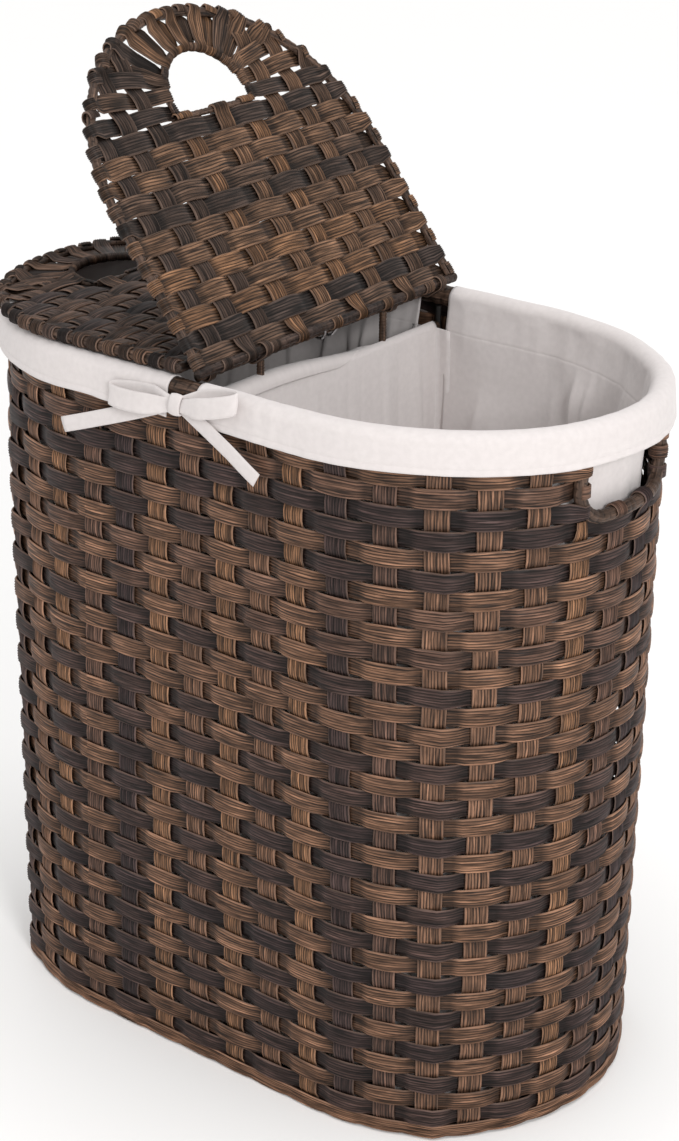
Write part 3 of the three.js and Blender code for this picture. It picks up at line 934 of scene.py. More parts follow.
@dataclass
class TubRods:
    """Wound rods of the tub: rim, base border, hand holes, centre rail, divider rail and its posts."""

    tub: Tub
    wound: bpy.types.Material

    def build(self) -> None:
        """Wind every rod."""
        rng = np.random.default_rng(23)
        share = np.arange(360) / 360
        rim = self.tub.point(share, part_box("rim_rod")[1].z - RIM_RADIUS, -RIM_INSET)
        wide = Winding(RIM_RADIUS, pitch=11 * MM, ridge=1.6 * MM, step=2.2 * MM, around=18)
        self._rod("rim_winding", wide, rim, rng, Tone.GREY, ["rim_rod"], True)
        self._base(rng)
        for side in ("right", "left"):
            self._rod(f"hand_hole_winding_{side}", Winding(5 * MM, pitch=6 * MM), self._handle(side), rng,
                      Tone.GREY, [f"handle_bar_{side}"])
        rail = Winding(4 * MM, pitch=6.5 * MM)
        for name in ("centre_rail", "divider_rail"):
            self._rod(f"{name}_winding", rail, self._between(name, 1), rng, Tone.GREY, [name])
        post = Winding(2.9 * MM, pitch=2.6 * MM, ridge=0.7 * MM, step=0.6 * MM)
        for end in ("front", "rear"):
            name = f"divider_post_{end}"
            self._rod(f"{name}_winding", post, self._between(name, 2), rng, Tone.OLIVE, [name])

    def _rod(self, name: str, winding: Winding, path: Array, rng: np.random.Generator, tone: Tone,
             nodes: Sequence[str], closed: bool = False) -> None:
        """Wind one rod and hang it on the basket.

        Args:
            name: the piece's name.
            winding: how the rod is wound.
            path: its centre line.
            rng: seeded draws.
            tone: its dye lot.
            nodes: the frame's solids that it stands for.
            closed: whether the path joins itself.
        """
        surface = Surface()
        winding.wind(surface, path, rng, tone, closed)
        settle(surface.to_object(name, self.wound), "basket", nodes)

    @staticmethod
    def _between(name: str, axis: int) -> Array:
        """Centre line of a straight rod, from its box.

        Args:
            name: the frame's solid.
            axis: the axis that the rod runs along.

        Returns:
            Its two end points.
        """
        low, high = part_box(name)
        middle = np.array((low + high) / 2)
        ends = np.stack([middle, middle])
        ends[:, axis] = low[axis], high[axis]
        return ends

    def _base(self, rng: np.random.Generator) -> None:
        """Border of the foot: two strands laid side by side inside the lowest row.

        Args:
            rng: seeded draws.
        """
        surface = Surface()
        share = np.arange(300) / 300
        for z, out, tone in ((4.6 * MM, -7.6 * MM, Tone.DARK), (6.0 * MM, -15 * MM, Tone.GREY)):
            path = self.tub.point(share, z, out)
            Winding(3.9 * MM, pitch=38 * MM, ridge=0.9 * MM, step=5 * MM, around=12).wind(
                surface, path, rng, tone, True)
        settle(surface.to_object("base_border", self.wound), "basket", ["base_ring"])

    def _handle(self, side: str) -> Array:
        """Centre line of a hand hole's U, on the tub's middle surface.

        Args:
            side: right or left.

        Returns:
            Points from one end of the U to the other.
        """
        low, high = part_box(f"handle_bar_{side}")
        radius, corner = 5 * MM, 22 * MM
        half, bottom, top = high.y - radius, low.z + radius, high.z
        angle = np.linspace(math.pi, 1.5 * math.pi, 8)
        bend = np.stack([-half + corner + corner * np.cos(angle),
                         bottom + corner + corner * np.sin(angle)], 1)
        left = np.concatenate([[[-half, top], [-half, bottom + corner + 5 * MM]], bend])
        flat = np.linspace(-half + corner, half - corner, 12)[1:-1]
        middle = np.stack([flat, np.full(len(flat), bottom)], 1)
        outline = np.concatenate([left, middle, (left * [-1, 1])[::-1]])
        turn = 1 if side == "right" else -1
        oval = self.tub
        k = outline[:, 1] / oval.height
        a = oval.foot.a + (oval.rim.a - oval.foot.a) * k - 3 * MM
        s = oval.foot.s + (oval.rim.s - oval.foot.s) * k
        x = s + (a - s) * np.sqrt(1 - (outline[:, 0] / (oval.rim.b - 3 * MM)) ** 2)
        return np.stack([turn * x, turn * outline[:, 0], outline[:, 1]], 1)


# ------------------------------------------------------------------ lids
@dataclass
class Lid:
    """A half-oval lid: rows parallel to the hinge, stakes across them, and a fan round its hand hole."""

    side: str
    cane: bpy.types.Material
    wound: bpy.types.Material
    half_length: float = 276.5 * MM
    half_width: float = 158 * MM
    straight: float = 128 * MM
    stake_at: tuple[float, ...] = (-132, -103, -75, -42, 1, 34, 67, 97, 124)
    stake_half: float = 8.8 * MM
    row_pitch: float = 15.75 * MM
    first_row: float = 8 * MM
    rows: int = 12
    hole_centre: float = 200 * MM
    hole_radius: float = 46.5 * MM
    hole_bar: float = 192 * MM
    hoop: float = 4.7 * MM
    hole_hoop: float = 2.7 * MM
    hinge_hoop: float = 4.6 * MM
    swing_size: float = 1.7 * MM
    row_tones: str = "gdobobbdgbbd"
    stake_tones: str = "dddobobbg"
    fan_degrees: tuple[float, ...] = (-62, -51, -41, -31, -20.5, -10, 0.5, 11, 21.5, 32, 42, 52, 63)
    fan_tones: str = "gdbgbobgbogbb"

    @property
    def body(self) -> str:
        """The body the lid moves with."""
        return f"{self.side}_lid"

    def matrix(self) -> Matrix:
        """Place of the lid at rest, from the joint it hangs on.

        Returns:
            The matrix from the lid's own place, with its hinge at 0, to the basket.
        """
        joint = next(j for j in frame["joints"] if j["child"] == self.body)
        hinge = Matrix.Translation(Vector(joint["pos_m"]))
        if self.side == "left":
            return hinge @ Matrix.Rotation(math.pi, 4, "Z")
        return hinge @ Matrix.Rotation(-math.radians(joint["range_deg"][1]), 4, "Y")

    def build(self) -> None:
        """Build the weave, the border, the hinge rod and the hand-hole ring."""
        rng = np.random.default_rng(31 if self.side == "right" else 37)
        place = self.matrix()
        weave = Surface()
        for row in range(self.rows):
            self._row(weave, row, rng)
        for stake in range(len(self.stake_at)):
            self._stake(weave, stake, rng)
        self._beside_hole(weave, rng)
        self._fan(weave, rng)
        settle(weave.to_object(f"{self.side}_lid_weave", self.cane, place), self.body,
               [f"{self.side}_lid_panel"])
        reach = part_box(f"{self.side}_lid_hinge_rod")[1].y
        pin = np.array([[0, -reach, 0], [0, reach, 0]])
        wound = {
            "border": (self._edge(), 3.6 * MM, Tone.GREY, False, "border_rod"),
            # The hinge winding gets the dark tone as painted shade, for the shadow under the lid's first row.
            "hinge_winding": (pin, 3.8 * MM, Tone.DARK, False, "hinge_rod"),
            "hand_hole_winding": (self._hole(), 2.4 * MM, Tone.GREY, True, "hand_hole_ring"),
        }
        for name, (path, radius, tone, closed, stands_for) in wound.items():
            surface = Surface()
            Winding(radius, pitch=5.5 * MM, ridge=0.8 * MM, around=12).wind(surface, path, rng, tone, closed)
            piece = surface.to_object(f"{self.side}_lid_{name}", self.wound, place)
            settle(piece, self.body, [f"{self.side}_lid_{stands_for}"])

    def _edge(self) -> Array:
        """The border's centre line: straight side, half-oval end, straight side.

        Returns:
            Points from one end of the hinge side to the other.
        """
        angle = np.linspace(-math.pi / 2, math.pi / 2, 120)
        end = np.stack([self.straight + (self.half_length - self.straight) * np.cos(angle),
                        self.half_width * np.sin(angle)], 1)
        start = 3 * MM
        flat = np.concatenate([[[start, -self.half_width]], end, [[start, self.half_width]]])
        return np.column_stack([flat, np.zeros(len(flat))])

    def _half_at(self, x: float) -> float:
        """Half the lid's width at a distance x from the hinge."""
        past = max(0.0, x - self.straight) / (self.half_length - self.straight)
        return self.half_width * math.sqrt(max(0.0, 1 - past ** 2))

    def _far_at(self, y: float) -> float:
        """How far from the hinge the border lies at y."""
        reach = self.half_length - self.straight
        return self.straight + reach * math.sqrt(max(0.0, 1 - (y / self.half_width) ** 2))

    def _hole(self) -> Array:
        """The hand hole's centre line: an arc closed by a straight bar with rounded corners.

        Returns:
            Points once round the hole.
        """
        half_bar = math.sqrt(self.hole_radius ** 2 - (self.hole_centre - self.hole_bar) ** 2)
        lean = math.atan2(half_bar, self.hole_bar - self.hole_centre)
        angle = np.linspace(-lean + 0.12, lean - 0.12, 40)
        arc = np.stack([self.hole_centre + self.hole_radius * np.cos(angle),
                        self.hole_radius * np.sin(angle)], 1)
        bar_y = np.linspace(half_bar - 6 * MM, -half_bar + 6 * MM, 10)
        flat = np.concatenate([arc, np.stack([np.full(10, self.hole_bar), bar_y], 1)])
        return np.column_stack([flat, np.zeros(len(flat))])

    def _over(self, y: Array, row: float) -> Array:
        """Over and under of a row as -1 to 1 at y, from the stakes it meets.

        Args:
            y: distances along the row.
            row: the row's number from the hinge.

        Returns:
            1 where the row passes over, -1 where it passes under.
        """
        at = np.array(self.stake_at) * MM
        index = np.interp(y, at, np.arange(len(at)))
        index = np.where(y < at[0], (y - at[0]) / (at[1] - at[0]), index)
        index = np.where(y > at[-1], len(at) - 1 + (y - at[-1]) / (at[-1] - at[-2]), index)
        wave = -np.cos(math.pi * (index + row))
        return np.sign(wave) * np.abs(wave) ** 0.5

    def _lay(self, surface: Surface, flat: Array, height: Array, half: Array, rods: tuple[float, float],
             tone: str, rng: np.random.Generator, stake: bool = False) -> None:
        """Lay one strip along a flat line, wrapped round the rods at its ends.

        Args:
            surface: collects the mesh.
            flat: the line, away from the hinge and along it.
            height: how far the strip stands up at each station.
            half: half its width.
            rods: radius that it bends at, at the start and at the end.
            tone: letter of its dye lot.
            rng: seeded draws.
            stake: whether it is a stake, which is flatter than a row.
        """
        base = np.column_stack([flat, np.zeros(len(flat))])
        up = np.tile([0.0, 0.0, 1.0], (len(flat), 1))
        sides = tuple(1 if height[i] >= 0 else -1 for i in (2, -3))
        strip = Strip(strands=7, both_sides=True, thickness=1.7 * MM, crown=(0.25 if stake else 0.5) * MM)
        over = np.clip(height / (1.2 * MM), -1, 1)
        bent = wrap_round(base, up, height, half, rods, sides)
        strip.lay(surface, *bent, rng, TONE_OF[tone], wrapped(over, rods))

    def _row(self, surface: Surface, row: int, rng: np.random.Generator) -> None:
        """Lay one row from border to border.

        Args:
            surface: collects the mesh.
            row: its number from the hinge.
            rng: seeded draws.
        """
        x = self.first_row + self.row_pitch * row
        reach = self._half_at(x)
        y = np.linspace(-reach, reach, 72)
        over = self._over(y, row)
        level = x + 0.7 * MM * Wander(rng, slowest=5).at(y)
        half = (8.1 + 0.5 * np.abs(over)) * MM
        self._lay(surface, np.stack([level, y], 1), self.swing_size * over, half, (self.hoop, self.hoop),
                  self.row_tones[row], rng)

    def _stake(self, surface: Surface, stake: int, rng: np.random.Generator) -> None:
        """Lay one stake from the hinge rod to the border, or to the hand hole's bar.

        Args:
            surface: collects the mesh.
            stake: its number along the hinge.
            rng: seeded draws.
        """
        y = self.stake_at[stake] * MM
        stops = abs(y) < self.hole_radius
        far = self.hole_bar if stops else self._far_at(y)
        x = np.linspace(0, far, int(far / (4.6 * MM)))
        wave = np.cos(math.pi * ((x - self.first_row) / self.row_pitch + stake))
        over = np.sign(wave) * np.abs(wave) ** 0.7
        aside = y + 0.5 * MM * Wander(rng, slowest=5).at(x)
        half = np.full(len(x), self.stake_half * rng.uniform(0.95, 1.05))
        rods = (self.hinge_hoop, (self.hole_hoop + 0.9 * MM) if stops else self.hoop)
        self._lay(surface, np.stack([x, aside], 1), 0.8 * self.swing_size * over, half, rods,
                  self.stake_tones[stake], rng, True)

    def _beside_hole(self, surface: Surface, rng: np.random.Generator) -> None:
        """Short rows on both sides of the hand hole, from its ring to the border.

        Args:
            surface: collects the mesh.
            rng: seeded draws.
        """
        # Distance from the hinge, slope away from it, and the dye lots before and behind the hole.
        short_rows = ((198 * MM, 0.0, "dd"), (211.5 * MM, 0.08, "gb"), (223 * MM, 0.2, "db"))
        for i, (x, slope, tones) in enumerate(short_rows):
            near = math.sqrt(self.hole_radius ** 2 - (x - self.hole_centre) ** 2)
            for side, tone in zip((-1, 1), tones, strict=True):
                start, way = np.array([x, side * near]), unit(np.array([slope, side * 1.0]))
                flat, t = self._spread(start, way)
                over = self._over(flat[:, 1], self.rows + i)
                self._lay(surface, flat, self.swing_size * over, (6.4 + 1.6 * t) * MM,
                          (self.hole_hoop, self.hoop), tone, rng)

    def _fan(self, surface: Surface, rng: np.random.Generator) -> None:
        """Strips that spread from the hand hole's arc to the border.

        Args:
            surface: collects the mesh.
            rng: seeded draws.
        """
        centre = np.array([self.hole_centre, 0.0])
        for i, degrees in enumerate(self.fan_degrees):
            angle = math.radians(degrees + rng.uniform(-1.5, 1.5))
            way = np.array([math.cos(angle), math.sin(angle)])
            flat, t = self._spread(centre + way * self.hole_radius, way)
            # Out to the sides the strips cross the last stakes. Nearer the middle every second one only
            # lies a little higher.
            fade = smoothstep(0, 0.2, t) * smoothstep(1, 0.8, t)
            woven = smoothstep(54 * MM, 66 * MM, np.abs(flat[:, 1]))
            lift = self._over(flat[:, 1], i + 1) * self.swing_size * woven
            lift = lift + (0.8 * MM if i % 2 else -0.8 * MM) * fade * (1 - woven)
            grow = 2.4 + 2.6 * abs(math.sin(angle))
            self._lay(surface, flat, lift, (5.0 + grow * t) * MM, (self.hole_hoop, self.hoop),
                      self.fan_tones[i], rng)

    def _spread(self, start: Array, way: Array) -> tuple[Array, Array]:
        """Points from a start to the border, and their share of the way.

        Args:
            start: where the strip starts.
            way: unit vector that it runs along.

        Returns:
            The points, and each one's share of the way.
        """
        far = np.linspace(0.0, 0.2, 600)
        spot = start[None] + far[:, None] * way[None]
        past = np.maximum(spot[:, 0] - self.straight, 0) / (self.half_length - self.straight)
        reach = float(far[np.argmin(past ** 2 + (spot[:, 1] / self.half_width) ** 2 < 1)])
        t = np.linspace(0, 1, max(12, int(reach / (4.2 * MM))))
        return start[None] + (t * reach)[:, None] * way[None], t


@dataclass
class Hinges:
    """What holds the lids to the centre rail: a bright wire ring and two cane ties for each."""

    steel: bpy.types.Material
    wound: bpy.types.Material
    ring_radii: tuple[float, float] = (3.3 * MM, 6.4 * MM)
    wire: float = 1.0 * MM
    tie_radii: tuple[float, float] = (5.9 * MM, 5.9 * MM)

    def build(self) -> None:
        """Build rings and ties for both lids."""
        rng = np.random.default_rng(41)
        rail = (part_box("centre_rail")[0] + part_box("centre_rail")[1]) / 2
        for joint in frame["joints"]:
            side = joint["child"].split("_")[0]
            pin = Vector(joint["pos_m"])
            low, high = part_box(f"hinge_ring_{side}")
            surface = Surface()
            ring = self._link(rail, pin, self.ring_radii, (low.y + high.y) / 2)
            tube(surface, ring, self.wire, closed=True)
            settle(surface.to_object(f"{side}_hinge_wire", self.steel), "basket",
                   [f"hinge_ring_{side}"])
            for end in ("front", "rear"):
                name = f"lid_tie_{side}_{end}"
                low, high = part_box(name)
                line = self._link(rail, pin, self.tie_radii, (low.y + high.y) / 2)
                around = line - line.mean(0)
                surface = Surface()
                half = np.full(len(line), (high.y - low.y) / 2)
                Strip(strands=4, thickness=1.2 * MM, groove=0.5 * MM, crown=0.2 * MM).lay(
                    surface, line, unit(around), half, rng, Tone.GREY, np.ones(len(line)), True)
                tie = surface.to_object(f"{side}_cane_tie_{end}", self.wound)
                settle(tie, "basket", [name])

    @staticmethod
    def _link(rail: Vector, pin: Vector, radii: tuple[float, float], y: float) -> Array:
        """A flat link round a lid's pin and the rail, across Y, with its own radius at each.

        Args:
            rail: middle of the rail.
            pin: the lid's hinge point.
            radii: the link's radius round the pin and round the rail.
            y: where the link lies along the rail.

        Returns:
            Points once round the link.
        """
        lean = math.atan2(pin.z - rail.z, pin.x - rail.x)
        angle = np.linspace(0, math.pi, 12)
        upper = np.stack([pin.x + radii[0] * np.cos(angle + lean - math.pi / 2),
                          np.full(12, y), pin.z + radii[0] * np.sin(angle + lean - math.pi / 2)], 1)
        lower = np.stack([rail.x + radii[1] * np.cos(angle + lean + math.pi / 2),
                          np.full(12, y), rail.z + radii[1] * np.sin(angle + lean + math.pi / 2)], 1)
        return np.concatenate([upper, lower])


# ------------------------------------------------------------------ cotton liners
# Heights of the cuff's stations above its hem, in millimetres, close together at the row of stitches.
HEM_STATIONS = (0, 1.2, 3, 4.2, 4.9, 5.6, 6.8, 9, 13)
OVER_STATIONS = 13


def thicken(piece: bpy.types.Object, cloth: float) -> bpy.types.Object:
    """Give a sheet its cloth's thickness, half to each side.

    Args:
        piece: the sheet.
        cloth: thickness.

    Returns:
        The same piece.
    """
    solid = piece.modifiers.new("cloth", "SOLIDIFY")
    solid.thickness = cloth
    solid.offset = 0
    return piece


@dataclass
class Liner:
    """A cotton bag in one compartment: side with its cuff over the rim, divider panel and bottom."""

    side: str
    tub: Tub
    cotton: bpy.types.Material
    cloth: float = 0.9 * MM
    cuff_gap: float = 14 * MM
    hem: float = 571 * MM
    seam: float = 566 * MM
    bottom: float = 14 * MM
    folds: int = 44
    fold_depth: float = 9.5 * MM
    corner_return: float = 14 * MM

    @property
    def turn(self) -> int:
        """1 for the right compartment, -1 for the left one, which is turned half round."""
        return 1 if self.side == "right" else -1

    def build(self) -> None:
        """Build the panels of one liner."""
        rng = np.random.default_rng(53 if self.side == "right" else 59)
        self._side(rng)
        self._divider(rng)
        self._bottom(rng)

    def _place(self, points: Array) -> Array:
        """Turn points made for the right compartment to this one."""
        return points * np.array([self.turn, self.turn, 1.0])

    def _profile(self) -> tuple[Array, Array]:
        """Distances out and heights, from the outer hem over the rim and down to the bottom.

        Returns:
            Distances out and heights, station by station.
        """
        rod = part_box("rim_rod")[1].z - RIM_RADIUS
        over = np.linspace(0, math.pi, OVER_STATIONS)
        radius = RIM_RADIUS + 1.3 * MM
        hem = self.hem + np.array(HEM_STATIONS) * MM
        out = np.interp(hem, [self.hem, rod], [6.4 * MM, 4.4 * MM])
        out = out - 0.45 * MM * self._stitch(hem, self.hem + 4.9 * MM)
        out = np.concatenate([out, -RIM_INSET + radius * np.cos(over)])
        inside = np.concatenate([np.linspace(rod - 3 * MM, self.seam + 6 * MM, 6),
                                 self.seam + np.array([3, 1.6, 0.7, 0, -0.7, -1.6, -3]) * MM,
                                 np.linspace(self.seam - 7 * MM, self.bottom, 64)])
        inner = np.interp(inside, [self.bottom, 0.5, self.seam, rod],
                          np.array([-20, -19.5, -18, -14.4]) * MM)
        inner = inner + 0.3 * MM * self._stitch(inside, self.seam)
        return np.concatenate([out, inner]), np.concatenate([hem, rod + radius * np.sin(over), inside])

    @staticmethod
    def _stitch(z: Array, at: float) -> Array:
        """The narrow valley that a row of stitches pulls in."""
        return np.exp(-((z - at) / (0.8 * MM)) ** 2)

    @staticmethod
    def _creases(rng: np.random.Generator, across: Array, z: Array, count: int, deepest: float) -> Array:
        """Sharp folds that run down the cloth, each with its own slant, reach and depth.

        Args:
            rng: seeded draws.
            across: place across the cloth in metres, down the rows.
            z: height of each column.
            count: how many folds.
            deepest: depth of the deepest one.

        Returns:
            How far the cloth stands in at each point.
        """
        total = np.zeros((len(across), len(z)))
        for _ in range(count):
            centre = rng.uniform(across[0], across[-1]) + rng.uniform(-0.16, 0.16) * (z[None] - 0.5)
            away = across[:, None] - centre
            width = rng.uniform(0.0035, 0.007)
            away = np.abs(away) / np.where(away > 0, width, width * rng.uniform(2.0, 6.0))
            top, foot = rng.uniform(0.52, 0.62), rng.uniform(0.02, 0.44)
            reach = smoothstep(foot, foot + 0.1, z) * smoothstep(top, top - 0.05, z)
            total = np.maximum(total, rng.uniform(0.35, 1.0) * deepest * np.exp(-away) * reach[None])
        return total

    def _side(self, rng: np.random.Generator) -> None:
        """The long panel round the compartment, with its cuff.

        Args:
            rng: seeded draws.
        """
        out, z = self._profile()
        start = self.tub.front_share(self.cuff_gap, 0.6)
        share = np.linspace(start, 0.5 + self.tub.straight_share - start, 280)
        away = travelled(np.column_stack([out, z]))
        across = travelled(self.tub.point(share, 0.5, 0.0))
        inside = (np.arange(len(z)) >= len(HEM_STATIONS) + OVER_STATIONS)[None]
        ripple = Wander(rng, waves=6, slowest=4)
        slant = Wander(rng, waves=4, slowest=1.2)
        soft = ripple.at(share[:, None] + 0.05 * slant.at(z)[None])
        bulge = -(np.abs(soft) * 5 * MM + self._creases(rng, across, z, self.folds, self.fold_depth))
        # The folds fade out towards the seam under the cuff.
        bulge = bulge * smoothstep(0.588, 0.535, z)[None] * inside
        # At the hand hole the cloth is pressed out towards the weave.
        at_hole = np.exp(-((share - 0.25 - self.tub.straight_share / 2) / 0.055) ** 4)
        held = smoothstep(0.40, 0.5, z) * smoothstep(0.592, 0.56, z)
        pressed = at_hole[:, None] * held[None]
        bulge = bulge * (1 - 0.7 * pressed) + 6.5 * MM * pressed * inside
        # The cuff is gathered a little outside, and puckers along the seam inside.
        gathers = Wander(rng, waves=12, slowest=22).at(share)[:, None] * 0.55 * MM
        gathers = gathers + Wander(rng, waves=5, slowest=5).at(share)[:, None] * 0.8 * MM
        pucker = Wander(rng, waves=9, slowest=22).at(share)[:, None] * 1.2 * MM
        pucker = pucker * smoothstep(0.535, 0.572, z)[None] * smoothstep(0.607, 0.588, z)[None] * inside
        at_hem = (np.arange(len(z)) < len(HEM_STATIONS))[None]
        level = z[None] + Wander(rng, slowest=5).at(share)[:, None] * 1.3 * MM * at_hem
        points = self.tub.point(share[:, None], level, out[None] + bulge + pucker + gathers * ~inside)
        surface = Surface()
        surface.grid(self._place(points), across, away)
        piece = surface.to_object(f"{self.side}_liner_side_cloth", self.cotton)
        thicken(piece, self.cloth)
        settle(piece, "basket", [f"liner_{self.side}_side", f"liner_{self.side}_cuff"])

    def _divider(self, rng: np.random.Generator) -> None:
        """The flat panel between the compartments, folded over the divider rail.

        The right one lies tight on the rail. The left one stands up over it in a loose arch near the front.

        Args:
            rng: seeded draws.
        """
        low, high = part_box("divider_rail")
        rail = (low + high) / 2
        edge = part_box(f"liner_{self.side}_divider")[1].y
        t = np.concatenate([[-1, -1, -1], np.linspace(-1, 1, 130), [1, 1, 1]])
        front = -self.turn * t
        y = t * self.turn * edge
        tight = self.side == "right"
        arch = smoothstep(0.075, -0.075, y) * smoothstep(-0.158, -0.135, y)
        lift = 0.6 * MM * np.ones(len(t)) if tight else 10 * MM * arch
        radius = ((high.z - low.z) / 2 + (1.5 * MM if tight else 0.7 * MM + 3 * MM * arch)) * np.ones(len(t))
        radius = radius[:, None]
        fold_share = smoothstep(-0.45, -0.05, front) if tight else smoothstep(0, 4 * MM, lift)
        angle = np.linspace(0, 1, 10)[None] * np.radians(72 + 108 * fold_share)[:, None]
        height = np.linspace(0, 1, 60)[None] * (rail.z + lift - self.bottom)[:, None] + self.bottom
        drape = Wander(rng, waves=5, slowest=1.4).at(t)[:, None]
        belly = np.sin(math.pi * np.linspace(0, 1, 60))[None]
        # The last stations turn round the corner, so that the seam with the side panel stands closed.
        ends = [0, 3, len(t) - 4, len(t) - 1]
        deep = self.corner_return
        corner = np.interp(np.arange(len(t)), ends, [deep, 0, 0, deep])[:, None]
        corner = corner * smoothstep(0.596, 0.57, height)
        crease = self._creases(rng, t * edge, np.linspace(0, 0.57, 60), 12, 6 * MM)
        face = rail.x + radius + corner + (np.abs(drape) * 4 * MM + 2 * MM + crease) * belly ** 0.6
        bend = np.stack([rail.x + radius * np.cos(angle),
                         rail.z + lift[:, None] + radius * np.sin(angle)], -1)
        # Past the rail the cloth hangs down on the other side as a short flap.
        hang = np.linspace(0, 1, 5)[None, 1:] * (0.5 * MM + (17 if tight else 3) * MM * fold_share)[:, None]
        last = angle[:, -1:]
        flap = np.stack([bend[:, -1:, 0] - np.sin(last) * hang, bend[:, -1:, 1] + np.cos(last) * hang], -1)
        x = np.concatenate([face, bend[:, 1:, 0], flap[..., 0]], 1)
        z = np.concatenate([height, bend[:, 1:, 1], flap[..., 1]], 1)
        points = np.stack([x, np.broadcast_to((t * edge)[:, None], x.shape), z], -1)
        surface = Surface()
        surface.grid(self._place(points), travelled(points[:, 30]), travelled(points[20]))
        piece = surface.to_object(f"{self.side}_liner_divider_cloth", self.cotton)
        thicken(piece, self.cloth)
        settle(piece, "basket", [f"liner_{self.side}_divider"])

    def _bottom(self, rng: np.random.Generator) -> None:
        """The D-shaped bottom panel.

        Args:
            rng: seeded draws.
        """
        start = self.tub.front_share(self.cuff_gap, self.bottom)
        share = np.linspace(start, 0.5 + self.tub.straight_share - start, 90)
        rim = self.tub.point(share, self.bottom, -20 * MM)
        spine = np.stack([np.full(90, 9 * MM), rim[:, 1], rim[:, 2]], 1)
        t = np.linspace(0, 1, 24)[:, None, None]
        points = spine[None] * (1 - t) + rim[None] * t
        ripple = Wander(rng, waves=5, slowest=6)
        points[..., 2] += 0.8 * MM * ripple.at(points[..., 0]) * ripple.at(points[..., 1] + 0.3)
        surface = Surface()
        surface.grid(self._place(points), np.linspace(0, 0.26, 24), np.linspace(0, 0.3, 90))
        piece = surface.to_object(f"{self.side}_liner_bottom_cloth", self.cotton)
        thicken(piece, self.cloth)
        settle(piece, "basket", [f"liner_{self.side}_bottom"])


